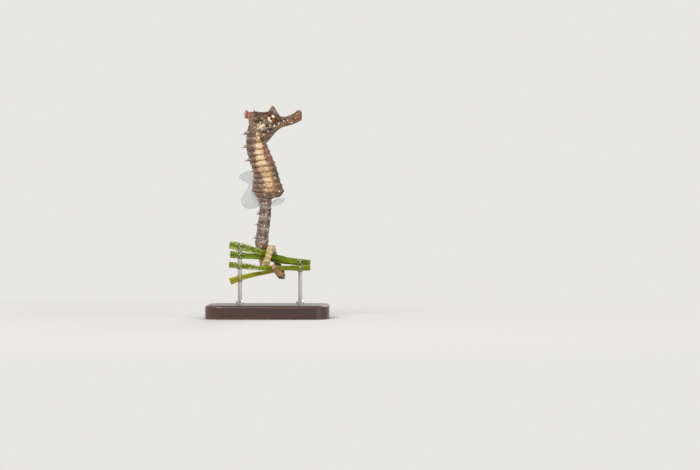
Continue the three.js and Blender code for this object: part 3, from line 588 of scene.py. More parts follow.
def body_sweep():
    """Neck, trunk and tail as one tube."""
    ring = np.arange(FIRST_RING, LAST_RING + 1e-6, 1 / SWEEP_ROWS_EACH_RING)
    place = np.arange(SWEEP_SIDES) * PLACES / SWEEP_SIDES
    return loft(body_sections(ring, place))


def body_spines():
    """The long spines of the body, with the place and reach of their tips."""
    parts, tips = [], []
    for ring, ridge, length, rise in SPINES:
        up = -body_axes(np.array([ring + 0.5]))[1][0] * rise
        for side in (1, -1):
            root = body_point(ring + 0.5, ridge, side, -SPINE["sunk"])
            end = body_point(ring + 0.5, ridge, side, length - SPINE["short_by"]) + up
            tips.append((end, length))
            parts.append(cone(root, end, SPINE["radius"], SPINE["hollow"], SPINE["blunt"]))
    return parts, tips


def fused(parts, voxel):
    """One closed skin round all the parts: (points, faces)."""
    points, faces = joined(parts)
    mesh = bpy.data.meshes.new("fusing")
    mesh.from_pydata(points.tolist(), [], faces)
    obj = bpy.data.objects.new("fusing", mesh)
    bpy.context.scene.collection.objects.link(obj)
    remesh = obj.modifiers.new("Fuse", "REMESH")
    remesh.mode = "VOXEL"
    remesh.voxel_size = voxel
    made = bpy.data.meshes.new_from_object(obj.evaluated_get(bpy.context.evaluated_depsgraph_get()))
    co = np.empty(len(made.vertices) * 3)
    made.vertices.foreach_get("co", co)
    quads = np.empty(len(made.loops), int)
    made.loops.foreach_get("vertex_index", quads)
    bpy.data.objects.remove(obj)
    bpy.data.meshes.remove(mesh)
    bpy.data.meshes.remove(made)
    return co.reshape(-1, 3), quads.reshape(-1, 4)


def summed(index, rows, count):
    """The sums of the rows that share an index."""
    return np.stack([np.bincount(index, column, count) for column in rows.T], axis=-1)


def relaxed(points, quads, rounds, strength):
    """Evens out the steps that the fusing leaves."""
    edges = np.vstack([quads[:, [0, 1]], quads[:, [1, 2]], quads[:, [2, 3]], quads[:, [3, 0]]])
    a, b = np.unique(np.sort(edges, axis=1), axis=0).T
    count = np.bincount(np.append(a, b), minlength=len(points))[:, None]
    for _ in range(rounds):
        for weight in (strength, -strength * 1.03):
            total = summed(a, points[b], len(points)) + summed(b, points[a], len(points))
            points = points + (total / count - points) * weight
    return points


def surface_normals(points, quads):
    """The way out of the skin at each of its points."""
    a, b, c, d = (points[quads[:, i]] for i in range(4))
    face = np.cross(c - a, d - b)
    return unit(sum(summed(quads[:, i], face, len(points)) for i in range(4)))


def body_places(points):
    """The ring and place of the body nearest to each point of the skin, and how far off it is."""
    ring = np.arange(FIRST_RING, LAST_RING, 1 / SAMPLE_ROWS_EACH_RING)
    place = np.arange(0, PLACES, PLACES / SAMPLE_SIDES)
    samples = body_sections(ring, place).reshape(-1, 3)
    rings, places = np.meshgrid(ring, place, indexing="ij")
    tree = kdtree.KDTree(len(samples))
    for i, sample in enumerate(samples):
        tree.insert(sample, i)
    tree.balance()
    near = np.array([tree.find(p)[1:] for p in points])
    index = near[:, 0].astype(int)
    row = index // len(place)
    # slide from the nearest sample along the body, so that the values run evenly
    middle, along, back, _ = body_axes(ring)
    step = np.gradient(ring_distance(ring), ring)[row]
    slid = rings.ravel()[index] + np.sum((points - samples[index]) * along[row], axis=1) / step
    height = np.sum((points - middle[row]) * back[row], axis=1)
    return tilted(slid, height, back[row], along[row]), places.ravel()[index], near[:, 1]


# ---------------------------------------------------------------- colours and finishes


def tint(red, green, blue):
    """A colour written as 0 to 255 for the screen, as the light that it gives off."""
    shares = [value / 255 for value in (red, green, blue)]
    return (*(c / 12.92 if c <= 10 / 255 else ((c + 0.055) / 1.055) ** 2.4 for c in shares), 1.0)


def colour_property(name, description, rgb):
    """A colour that a user may change."""
    return bpy.props.FloatVectorProperty(
        name=name, description=description, subtype="COLOR", size=4, min=0.0, max=1.0, default=tint(*rgb)
    )


def share_property(name, description, default):
    """A share from 0 to 1 that a user may change."""
    return bpy.props.FloatProperty(
        name=name, description=description, subtype="FACTOR", min=0.0, max=1.0, default=default
    )


class Graph:
    """A node tree, with short calls for the nodes that are used often."""

    def __init__(self, tree):
        self.tree = tree

    def put(self, socket, value):
        """Links a socket to another, or gives it a plain value."""
        if isinstance(value, bpy.types.NodeSocket):
            self.tree.links.new(value, socket)
        else:
            socket.default_value = value

    def fill(self, sockets, **values):
        """Puts values in sockets by name: Coat_Weight goes to Coat Weight."""
        for name, value in values.items():
            self.put(sockets[name.replace("_", " ")], value)

    def add(self, kind, **settings):
        """A new node."""
        node = self.tree.nodes.new(kind)
        for key, value in settings.items():
            setattr(node, key, value)
        return node

    def mask(self, name, strength=1.0):
        """Numbers that the mesh carries, made weaker where strength is below 1."""
        value = self.add("ShaderNodeAttribute", attribute_name=name).outputs["Fac"]
        return value if strength == 1.0 else self.times(value, strength)

    def math(self, operation, *values, clamp=False):
        """A Math node on values or sockets."""
        node = self.add("ShaderNodeMath", operation=operation, use_clamp=clamp)
        for socket, value in zip(node.inputs, values):
            self.put(socket, value)
        return node.outputs[0]

    def times(self, value, factor):
        """One value times another."""
        return self.math("MULTIPLY", value, factor)

    def ragged(self, value, pattern, amount):
        """A value moved up and down by a pattern that runs from 0 to 1."""
        return self.math("MULTIPLY_ADD", self.math("SUBTRACT", pattern, 0.5), amount, value)

    def blend(self, share, a, b, mode="MIX"):
        """Colour a, with b laid over it by its share."""
        node = self.add("ShaderNodeMix", data_type="RGBA", blend_type=mode)
        self.fill(node.inputs, Factor=share, A=a, B=b)
        return node.outputs["Result"]

    def paint(self, colour, *coats):
        """A colour with coats laid over it in turn, each a share and a colour."""
        for share, coat in coats:
            colour = self.blend(share, colour, coat)
        return colour

    def noise(self, scale, detail, roughness, vector, distortion=0.0):
        """A cloudy pattern from 0 to 1."""
        node = self.add("ShaderNodeTexNoise")
        self.fill(
            node.inputs, Scale=scale, Detail=detail, Roughness=roughness, Distortion=distortion, Vector=vector
        )
        return node.outputs["Fac"]

    def ramp(self, value, *stops):
        """Reads value through (place, grey) stops."""
        node = self.add("ShaderNodeValToRGB")
        band = node.color_ramp
        while len(band.elements) < len(stops):
            band.elements.new(0.5)
        for element, (place, grey) in zip(band.elements, stops):
            element.position = place
            element.color = (grey, grey, grey, 1)
        self.put(node.inputs["Fac"], value)
        return node.outputs["Color"]

    def position(self):
        """Where a point lies on the whole object, in metres."""
        return self.add("ShaderNodeTexCoord").outputs["Object"]

    def bump(self, height, strength, distance):
        """The surface's normal, moved by a height; distance is the height of 1, in metres."""
        node = self.add("ShaderNodeBump")
        self.fill(node.inputs, Height=height, Strength=strength, Distance=distance)
        return node.outputs["Normal"]

    def group(self, tree, **values):
        """A node group with its own values: the outputs."""
        node = self.add("ShaderNodeGroup")
        node.node_tree = tree
        self.fill(node.inputs, **values)
        return node.outputs

    def mix_shaders(self, share, first, second, end):
        """Sends the first shader to the end node, and the second by its share."""
        both = self.add("ShaderNodeMixShader")
        for socket, value in zip(both.inputs, (share, first, second)):
            self.put(socket, value)
        self.put(self.tree.nodes[end].inputs["Surface"], both.outputs[0])


def new_material(name):
    """A material with a Principled shader: (material, graph, the shader's inputs)."""
    material = bpy.data.materials.new(name)
    material.use_nodes = True
    graph = Graph(material.node_tree)
    shader = material.node_tree.nodes["Principled BSDF"]
    return material, graph, shader.inputs


def shared_group(name, inputs, outputs, fill):
    """A shader node group with named sockets. It is filled once and then shared."""
    if name in bpy.data.node_groups:
        return bpy.data.node_groups[name]
    tree = bpy.data.node_groups.new(name, "ShaderNodeTree")
    for socket, kind, default in inputs:
        tree.interface.new_socket(socket, in_out="INPUT", socket_type=kind).default_value = default
    for socket in outputs:
        tree.interface.new_socket(socket, in_out="OUTPUT", socket_type="NodeSocketFloat")
    graph = Graph(tree)
    fill(graph, graph.add("NodeGroupInput").outputs, graph.add("NodeGroupOutput").inputs)
    return tree


def mottle_group():
    """Cloudy patches with a fine grain: a value from 0 to 1, and a height for the bump."""

    def fill(graph, start, end):
        place = graph.position()
        patches = graph.noise(start["Patch Scale"], 4.0, 0.6, place, 0.4)
        grain = graph.noise(start["Grain Scale"], 3.0, 0.6, place)
        speckled = graph.ragged(graph.ramp(patches, (0.36, 0.0), (0.66, 1.0)), grain, start["Grain"])
        graph.put(end["Patches"], graph.math("ADD", speckled, 0.0, clamp=True))
        graph.put(end["Height"], graph.math("MULTIPLY_ADD", grain, 0.6, graph.times(patches, 0.4)))

    inputs = [
        ("Patch Scale", "NodeSocketFloat", 900.0), ("Grain Scale", "NodeSocketFloat", 4500.0),
        ("Grain", "NodeSocketFloat", 0.4),
    ]
    return shared_group("Mottle", inputs, ["Patches", "Height"], fill)


def fibre_group():
    """Fine lines that run along a piece, as in a leaf's veins, wood or brushed metal."""

    def fill(graph, start, end):
        stretched = graph.add("ShaderNodeVectorMath", operation="MULTIPLY")
        graph.put(stretched.inputs[0], graph.position())
        graph.put(stretched.inputs[1], start["Stretch"])
        graph.put(end["Lines"], graph.noise(start["Scale"], 5.0, 0.65, stretched.outputs[0], start["Wander"]))

    inputs = [
        ("Stretch", "NodeSocketVector", (1.0, 1.0, 1.0)), ("Scale", "NodeSocketFloat", 500.0),
        ("Wander", "NodeSocketFloat", 0.3),
    ]
    return shared_group("Fibres", inputs, ["Lines"], fill)


# ---------------------------------------------------------------- settings


class SeahorseSkinSettings(bpy.types.PropertyGroup):
    """Detail, grain and colours of the skin"""

    voxel: bpy.props.FloatProperty(
        name="Skin Detail", description="Size of the smallest facet of the skin, in mm", min=0.08, max=0.5,
        default=0.11
    )
    grain: share_property("Grain", "Strength of the fine light and dark grain", 0.7)
    light: colour_property("Light Skin", "Bony plates of back and flank", (168, 144, 122))
    middle: colour_property("Skin", "Most of the skin", (122, 98, 80))
    # Dark Skin is both the dark mottle and the colour of the painted shade on crown, snout, grooves, belly
    # and the tail's underside
    dark: colour_property("Dark Skin", "Shaded patches, crown and belly side", (68, 46, 24))
    deep: colour_property("Darkest Skin", "Dark blotches and pits", (58, 36, 22))
    # Flank Blocks and Tan Skin also carry painted light on the tail where it turns behind the leaves
    cream: colour_property("Flank Blocks", "Pale blocks down the flank and on the cheek", (248, 216, 174))
    gold: colour_property("Golden Skin", "Band of the tail in front of the leaves", (194, 174, 86))
    tan: colour_property("Tan Skin", "Warm skin of flank, chin and snout", (170, 124, 80))
    pink: colour_property("Pink Skin", "Coronet, chest and end of the snout", (162, 106, 84))
    mauve: colour_property("Mauve Skin", "Ridge over the snout, coronet's edge and keel", (142, 120, 118))
    pearl: colour_property("Pearls", "Tips of spines and small white knobs", (236, 228, 218))
    rust: colour_property("Rust", "Dark red-brown round the eye and in the mouth", (84, 38, 22))


class SeahorseEyeSettings(bpy.types.PropertyGroup):
    """Colours of the eyes"""

    cream: colour_property("Iris", "Pale part of the iris", (246, 226, 190))
    amber: colour_property("Iris Low", "Orange part of the iris", (172, 100, 58))
    rust: colour_property("Iris Rays", "Dark rays of the iris", (72, 18, 10))
    lid: colour_property("Rim", "Rim of the eye, as brown as the skin", (104, 74, 54))
    pupil: colour_property("Pupil", "Pupil", (4, 3, 3))


class SeahorseFinSettings(bpy.types.PropertyGroup):
    """Colours and clearness of the fins"""

    film: colour_property("Film", "Clear film between the rays", (150, 164, 170))
    ray: colour_property("Rays", "Fin rays", (150, 142, 134))
    clear: share_property("Film Opacity", "How much of the film is seen", 0.2)


class SeahorseLeafSettings(bpy.types.PropertyGroup):
    """Colours of the leaves and their growth"""

    green: colour_property("Green", "Living leaf", (58, 88, 3))
    bright: colour_property("Light Streaks", "Light streaks along the leaf", (134, 160, 8))
    deep: colour_property("Dark Streaks", "Middle vein and dark streaks", (26, 42, 2))
    yellow: colour_property("Yellow", "Older leaf and leaf edges", (172, 168, 22))
    brown: colour_property("Brown", "Stained parts", (76, 64, 12))
    crust: colour_property("Crust", "Pale growth on the leaves", (216, 216, 172))


class SeahorseStandSettings(bpy.types.PropertyGroup):
    """Colours of base, rods and ties"""

    wood: colour_property("Wood", "Stained base", (86, 54, 36))
    wood_dark: colour_property("Wood Grain", "Grain of the base", (48, 28, 19))
    metal: colour_property("Metal", "Rods and ties", (196, 194, 188))
    metal_dark: colour_property("Brushed Lines", "Darker lines in the metal", (140, 138, 134))


class SeahorseStageSettings(bpy.types.PropertyGroup):
    """Background and lens"""

    floor: colour_property("Floor", "Floor and background", (232, 231, 228))
    lens: bpy.props.FloatProperty(
        name="Lens", description="Focal length in mm", subtype="DISTANCE_CAMERA", default=100.0, min=20.0
    )


# ---------------------------------------------------------------- skin


ROUGH = {"scale": 1.7, "height": 0.07}  # unevenness of the whole skin, per mm and in mm
EYE_RIM = {"out": 0.18, "height": 0.1, "wide": 0.2, "moat_out": 0.4, "moat": 0.08, "folds": 11, "fold": 0.03}
GILL_RIBS = {"count": 26, "height": 0.035, "from": (2.2, 1.6)}
SNOUT_RIDGE, JAW_LINE = 0.08, 0.12  # how high and how deep
NOSTRIL = {"ahead": 1.75, "up": 0.75, "wide": 0.16, "deep": 0.14}
MOUTH = {"up": 1.45, "half_width": 0.5, "half_height": 0.95, "deep": 0.75}
SOCKET_FLOOR = 1.25  # how far out from the middle the skin stays behind the eye
PEARLS = [
    # ahead of the eye, up, radius: small white knobs on cheek and snout
    (-2.86, 0.05, 0.2), (-2.15, -0.55, 0.16), (-0.45, -1.95, 0.22), (0.8, -2.2, 0.34), (2.15, -1.35, 0.3),
    (3.45, -0.65, 0.25), (4.75, -0.4, 0.24), (5.95, -1.1, 0.2), (-1.35, -2.75, 0.16), (-3.3, -1.2, 0.2),
    (-4.9, -2.5, 0.16), (-2.35, -4.7, 0.2), (-0.9, -3.6, 0.16), (-2.9, -3.25, 0.2), (-1.6, -1.1, 0.14),
    (3.1, 0.0, 0.14), (0.1, -3.6, 0.14), (-1.9, -6.8, 0.16), (6.9, 0.2, 0.12), (-3.9, -2.9, 0.18),
]
HEAD_MARKS = {
    # ahead of the eye, up, half length, half height, strength
    "cream": [
        (-2.4, -2.0, 0.65, 0.45, 1.0), (-3.3, -2.5, 0.6, 0.45, 0.9), (-2.7, -3.1, 0.4, 0.35, 0.8),
        (-3.9, -1.75, 0.4, 0.35, 0.7), (-4.0, -3.0, 0.45, 0.3, 0.5), (-4.4, -4.9, 0.45, 0.7, 0.8),
        (-3.8, -5.7, 0.4, 0.6, 0.85), (-2.4, -4.7, 0.5, 0.35, 0.5), (-3.9, -4.4, 0.6, 0.3, 0.4),
        (-2.1, -6.7, 0.3, 0.5, 0.5),
    ],
    "tan": [
        (2.3, -2.1, 0.9, 0.5, 0.9), (5.9, -0.4, 1.4, 0.8, 0.9), (-2.8, -5.3, 1.4, 1.5, 0.6),
        (1.9, -0.4, 0.6, 0.5, 0.6), (-0.2, -2.6, 0.9, 0.4, 0.4),
    ],
    "pink": [(7.7, 0.6, 1.1, 1.5, 0.85), (3.7, -1.8, 0.8, 0.5, 0.5), (1.8, 1.6, 0.7, 0.6, 0.35)],
    # painted shade: the first mark darkens the crown and the fourth the top of the snout, where the lamps
    # from above fall most
    "shade": [
        (-3.2, 1.7, 2.6, 1.3, 1.0), (-3.4, 0.2, 1.6, 1.0, 0.6), (2.4, -0.2, 1.3, 0.8, 0.55),
        (4.6, 0.6, 2.6, 1.5, 0.95), (-0.2, -2.9, 1.5, 0.9, 0.6), (-2.4, -5.6, 1.1, 1.6, 0.4),
        (7.4, 1.0, 1.2, 1.8, 0.55), (0.5, 1.8, 1.4, 0.8, 0.4),
    ],
    "dark": [
        (-4.2, -0.9, 0.7, 0.5, 0.9), (-3.1, -0.5, 0.4, 0.3, 0.7), (-1.4, -2.2, 0.5, 0.5, 1.0),
        (-0.3, -3.1, 0.7, 0.45, 1.0), (-2.1, -3.9, 0.7, 0.35, 0.9), (-2.95, -5.85, 0.6, 0.9, 0.7),
        (2.4, -0.7, 1.2, 0.5, 1.0), (1.4, -1.4, 0.6, 0.4, 0.8), (-3.0, -1.4, 0.5, 0.25, 0.8),
        (-5.0, -2.0, 0.5, 0.5, 0.6), (-5.3, -3.6, 0.4, 0.6, 0.6), (-4.9, -0.6, 0.5, 0.8, 0.4),
        (0.3, -1.75, 1.2, 0.25, 0.8), (3.9, -0.1, 0.5, 0.25, 0.6), (-1.9, -2.9, 0.3, 0.3, 0.7),
        (-6.0, -5.5, 0.7, 0.8, 0.5),
    ],
    "rust": [(-4.9, 1.2, 0.7, 0.8, 0.55), (-1.35, 1.6, 0.7, 0.5, 0.85), (-2.9, 1.4, 0.9, 0.6, 0.15)],
}
FLANK = [
    # ring, place, half width, brightness and pinkness of the pale block on each plate of the flank
    (0.5, 4.3, 0.7, 0.2, 0.0), (1.5, 4.2, 0.7, 0.6, 0.0), (2.5, 3.95, 0.8, 1.0, 0.0),
    (3.5, 3.5, 0.85, 1.0, 0.0), (4.5, 3.3, 0.85, 0.9, 0.15), (5.5, 3.4, 1.05, 0.9, 0.5),
    (6.5, 3.35, 0.95, 0.6, 1.0), (7.5, 3.5, 0.8, 0.55, 0.6), (8.5, 3.65, 0.7, 0.85, 0.0),
    (9.5, 3.7, 0.7, 0.65, 0.0), (10.5, 3.5, 0.6, 0.3, 0.0), (11.5, 3.3, 0.5, 0.0, 0.0),
]
RING_RUNS = {
    # rings where a marking, or the painted light on the tail behind the leaves, starts, is full, begins to
    # fade and ends
    "flank": (0.0, 1.4, 10.2, 11.4),
    "back": (-1.5, 0.5, 19.0, 21.0),
    "chest": (1.4, 3.0, 5.4, 6.6),
    "low_belly": (7.8, 9.0, 10.5, 11.5),
    # painted light: the tail made paler where it turns down behind the leaves and the lamps light it less
    "slip_painted_light": (21.0, 23.5, 28.0, 30.0),
    "band": (29.5, 31.0, 37.5, 39.5),
}
TAIL_BAND = {"first": 14.0, "every": 2.7}  # pale bands of the tail, in rings
# white beads before each band, in rings and places
BEAD = {"before_band": 0.75, "place": 2.8, "apart": 0.55, "long": 0.19, "wide": 0.28}
CROWN_UP = 1.1  # the middle of the coronet's rim, above the eye


def marks(kind, ahead, up):
    """The head's marks of one kind, as one mask."""
    places = HEAD_MARKS[kind]
    return sum(hump(np.hypot((ahead - x) / a, (up - z) / b), 0, 1.0) * k for x, z, a, b, k in places)


def spine_share(points, tips):
    """How far each point lies from the nearest spine's tip, as a share of that spine's length."""
    return np.min([np.linalg.norm(points - tip, axis=1) / length for tip, length in tips], axis=0)


def sculpt_head(points, normals):
    """Small forms of the head, moved into the skin."""
    ahead, side, up = eye_offsets(points)
    on_head = smooth(ahead, -6.5, -5.5) * (1 - smooth(-up, 7.2, 8.0))
    flank = smooth(np.abs(side), 0.45, 0.9)
    from_eye = np.hypot(ahead, up)
    # the eye's rim, the hollow round it and the folds that spread from it
    rim = EYE["radius"] + EYE_RIM["out"]
    lift = EYE_RIM["height"] * hump(from_eye, rim, EYE_RIM["wide"]) * flank
    lift -= EYE_RIM["moat"] * hump(from_eye, rim + EYE_RIM["moat_out"], 0.22) * flank
    folds = np.cos(np.arctan2(up, ahead) * EYE_RIM["folds"])
    lift += EYE_RIM["fold"] * folds * hump(from_eye, rim + 0.15, 0.3) * flank
    # ribs that fan over the gill cover
    gill_x, gill_z = ahead - GILL_COVER["ahead"], up + GILL_COVER["down"]
    ribs = np.arctan2(gill_z - GILL_RIBS["from"][1], gill_x - GILL_RIBS["from"][0]) * GILL_RIBS["count"]
    inside = 1 - smooth(np.hypot(gill_x / GILL_COVER["long"], gill_z / GILL_COVER["tall"]), 0.6, 1.0)
    lift += GILL_RIBS["height"] * np.cos(ribs) * inside * flank
    # the ridge from the eye down the snout, and the line of the jaw
    ridge = hump(up, 0.25 + 0.11 * np.maximum(ahead, 0), 0.28) * window(ahead, 1.6, 2.6, 6.5, 8.0)
    lift += SNOUT_RIDGE * ridge * flank
    lift -= JAW_LINE * hump(up, 0.15 + 0.42 * (ahead - 8.6), 0.13) * smooth(ahead, 6.9, 7.8)
    for x, z, radius in PEARLS:
        lift += 0.5 * radius * hump(np.hypot(ahead - x, up - z), 0, radius * 0.75) * flank
    moved = points + normals * (lift * on_head)[:, None]
    # nostrils
    moved_ahead, _, moved_up = eye_offsets(moved)
    pit = hump(np.hypot(moved_ahead - NOSTRIL["ahead"], moved_up - NOSTRIL["up"]), 0, NOSTRIL["wide"])
    moved[:, 1] -= np.sign(side) * NOSTRIL["deep"] * pit * smooth(np.abs(side), 0.3, 0.6)
    # eye sockets
    socket = (1 - smooth(from_eye, EYE["radius"] * 0.9, EYE["radius"] * 1.06)) * flank
    out = np.abs(moved[:, 1])
    moved[:, 1] = np.sign(side) * mix(out, np.minimum(out, SOCKET_FLOOR), socket)
    # mouth
    from_lips = np.hypot(side / MOUTH["half_width"], (up - MOUTH["up"]) / MOUTH["half_height"])
    moved[:, 0] -= MOUTH["deep"] * (1 - np.clip(from_lips, 0, 1) ** 2) * smooth(ahead, 8.2, 8.6)
    return moved


class SkinPlaces:
    """Where each point of the skin lies on the body and on the head."""

    def __init__(self, points):
        self.ring, place, off = body_places(points)
        self.folded = fold(place)
        self.part = self.ring - np.floor(self.ring)
        self.crest, _, self.knob = ridge_shapes(self.ring, place)
        self.tail = smooth(self.ring, TAIL_FROM, TAIL_BY + 1)
        self.ahead, self.side, self.up = eye_offsets(points)
        self.beside = smooth(np.abs(self.side), 0.3, 0.7)
        self.on_head = smooth(self.ahead + self.up * 0.8, -9.2, -8.2) * (1 - smooth(-self.up, 6.6, 7.6))
        self.on_body = (1 - self.on_head) * (1 - smooth(off, 0.5, 1.2) * smooth(-self.ring, -1.5, 0.0))
        self.crown = smooth(-self.ahead, 5.2, 6.2) * smooth(self.up, -1.0, -0.4)


def from_band(ring):
    """Rings from the middle of the nearest pale band of the tail."""
    half = TAIL_BAND["every"] / 2
    return (ring - TAIL_BAND["first"] + half) % TAIL_BAND["every"] - half


def body_marks(at):
    """How strong each marking, the painted shade and the painted light are on neck, trunk and tail."""
    ring, folded, part, crest, tail = at.ring, at.folded, at.part, at.crest, at.tail
    on = {name: window(ring, *rings) for name, rings in RING_RUNS.items()}

    # the flank: a pale block on each plate, in a tan strip
    centre, half, bright, rosy = read_table(FLANK, ring).T
    beyond = np.abs(folded - centre) / np.maximum(half, 0.3)
    block = np.clip(bright, 0, 1) * (1 - smooth(beyond, 0.45, 1.5))
    block *= 1 - smooth(np.abs(part - 0.5), 0.18, 0.54)
    strip = (1 - smooth(beyond, 0.9, 1.8)) * on["flank"]
    lines = strip * (1 - smooth(np.minimum(part, 1 - part), 0.03, 0.16))
    # painted shade in the grooves between the rings, weaker in the tan strip and on the band
    grooves = (1 - crest) * smooth(ring, -0.5, 0.5) * (1 - on["band"] * 0.6) * mix(0.35, 0.1, strip)

    # back and belly
    back = (1 - smooth(folded, 2.0, 2.9)) * on["back"]
    knob_rows = hump(folded, 2.2, 0.5) * hump(part, 0.1, 0.2) * smooth(ring, 0, 2) * (1 - tail)
    spine_row = hump(folded, 0.9, 1.2) * (1 - tail) * smooth(ring, -1, 1)
    chest = hump(folded, 5.6, 1.25) * on["chest"]
    low_belly = hump(folded, 5.4, 1.1) * on["low_belly"]
    # painted shade on the belly side of the trunk
    belly = smooth(folded, 4.6, 5.4) * smooth(ring, 5.6, 7.0) * (1 - tail)
    keel = hump(folded, KEEL, 0.5) * (1 - tail) * smooth(ring, 1.5, 3.0)
    neck = (1 - smooth(ring, 0, 2)) * (1 - strip)

    # the tail: its underside warmer and in painted shade, which eases where the tail turns behind the leaves,
    # white beads beside its pale bands, and the pink tip
    underside = smooth(folded, 3.6, 4.8) * tail
    tip = smooth(ring, 43.0, 46.0)
    above_leaves = tail * (1 - smooth(ring, 24, 26))
    across = (np.abs(folded - BEAD["place"]) - BEAD["apart"]) / BEAD["wide"]
    from_bead = np.hypot(from_band(ring + BEAD["before_band"]) / BEAD["long"], across)
    knobs = at.knob * smooth(ring, -0.8, 0.4) * mix(0.45, 0.3, smooth(ring, 24, 30))
    greyed = 0.3 * tail * (1 - smooth(ring, 26, 29)) + 0.3 * spine_row
    return {
        # slip_painted_light is painted light: more cream and tan, and less shade, where the tail turns behind
        # the leaves
        "cream": block * mix(0.84, 1.0, smooth(ring, 2.0, 5.0)) + on["band"] * mix(0.25, 0.6, crest)
        + 0.16 * crest * back + 0.32 * on["slip_painted_light"],
        "tan": strip + 0.8 * tip + 0.6 * on["slip_painted_light"] + 0.5 * underside * (1 - on["band"]) * (1 - tip * 0.5),
        "gold": on["band"] + 0.15 * lines + 0.25 * strip * smooth(ring, 6.5, 8) + 0.25 * tip,
        "pink": 0.5 * rosy * strip + 0.45 * low_belly + 0.9 * chest + 0.45 * tip,
        # shade: painted shade in the grooves, on the belly and on the tail's underside; neck and chest darker
        # as well
        "shade": grooves + 0.3 * lines + 0.4 * (belly + neck) + 0.95 * chest + 0.1 * tail * (1 - on["slip_painted_light"])
        + underside * mix(0.95, 0.1, smooth(ring, 23, 29)),
        "dark": 0.5 * knob_rows + 0.42 * (1 - crest) * back + 0.7 * hump(from_bead, 1.6, 0.8) * above_leaves,
        "pearl": knobs * (1 - 0.65 * smooth(folded, 4.0, 4.8) * (1 - tail))
        + (1 - smooth(from_bead, 0.5, 1.1)) * above_leaves,
        "mauve": 0.6 * keel + greyed * (1 - underside),
    }


def head_marks(at):
    """How strong each marking, and the painted shade, is on head and snout."""
    ahead, up = at.ahead, at.up
    found = {kind: marks(kind, ahead, up) for kind in HEAD_MARKS}
    found["cream"] *= at.beside
    dots = sum(1 - smooth(np.hypot(ahead - x, up - z), r * 0.55, r * 1.15) for x, z, r in PEARLS)
    found["pearl"] = dots * at.beside
    return found


def skin_masks(points, head_tips, body_tips):
    """Where each marking, the painted shade and the painted light lie, from the body's rings and the head's
    own places.
    """
    at = SkinPlaces(points)
    ring, tail, ahead, up = at.ring, at.tail, at.ahead, at.up
    masks = dict.fromkeys(("cream", "tan", "pink", "gold", "shade", "dark", "pearl", "mauve", "rust"), 0.0)
    for share, found in ((at.on_body, body_marks(at)), (at.on_head, head_marks(at))):
        for name, values in found.items():
            masks[name] = masks[name] + share * values

    # the coronet, its edge and the ridge over the snout
    edge_ahead = smooth(-ahead - (up < CROWN_UP), 6.2, 6.6) * smooth(np.abs(up - CROWN_UP), 1.1, 1.7)
    crown_edge = np.maximum(smooth(-ahead, 7.4, 8.4), edge_ahead) * smooth(up, -1.2, -0.7)
    above_top = up - read_table(HEAD_OUTLINE, ahead)[:, 0]
    bridge = smooth(ahead, 0.2, 1.2) * (1 - 0.4 * smooth(ahead, 5.0, 7.5)) * smooth(above_top, -0.6, -0.1)
    head_points = 1 - smooth(spine_share(points, head_tips), 0.3, 1.1)
    body_points = 1 - smooth(spine_share(points, body_tips), 0.3, 0.95)
    lips = np.hypot(at.side / 0.45, (up - MOUTH["up"]) / 0.85)
    masks["pink"] += at.crown
    masks["pearl"] += 0.7 * body_points + 0.2 * hump(from_band(ring), 0, 0.5) * tail + 0.45 * crown_edge
    masks["mauve"] += 0.75 * np.maximum(at.on_head * bridge, head_points) + 0.8 * crown_edge
    masks["rust"] += smooth(ahead, 8.35, 8.6) * (1 - smooth(lips, 0.7, 1.0))

    # white flecks and dark pits, on cheek and tail most of all
    cheek = hump(np.hypot((ahead + 1.0) / 4.0, (up + 2.4) / 2.2), 0, 1.0)
    flecked = 1.1 * tail * (1 - 0.6 * smooth(ring, 22, 25)) * (1 - smooth(ring, 28, 30))
    fleck = mix(0.12, 0.7, np.maximum(flecked, cheek)) * (1 - at.crown)
    masks["fleck"] = fleck * (1 - 0.8 * smooth(ahead, 5.6, 7.2))
    return {name: np.clip(values, 0, 1) for name, values in masks.items()}


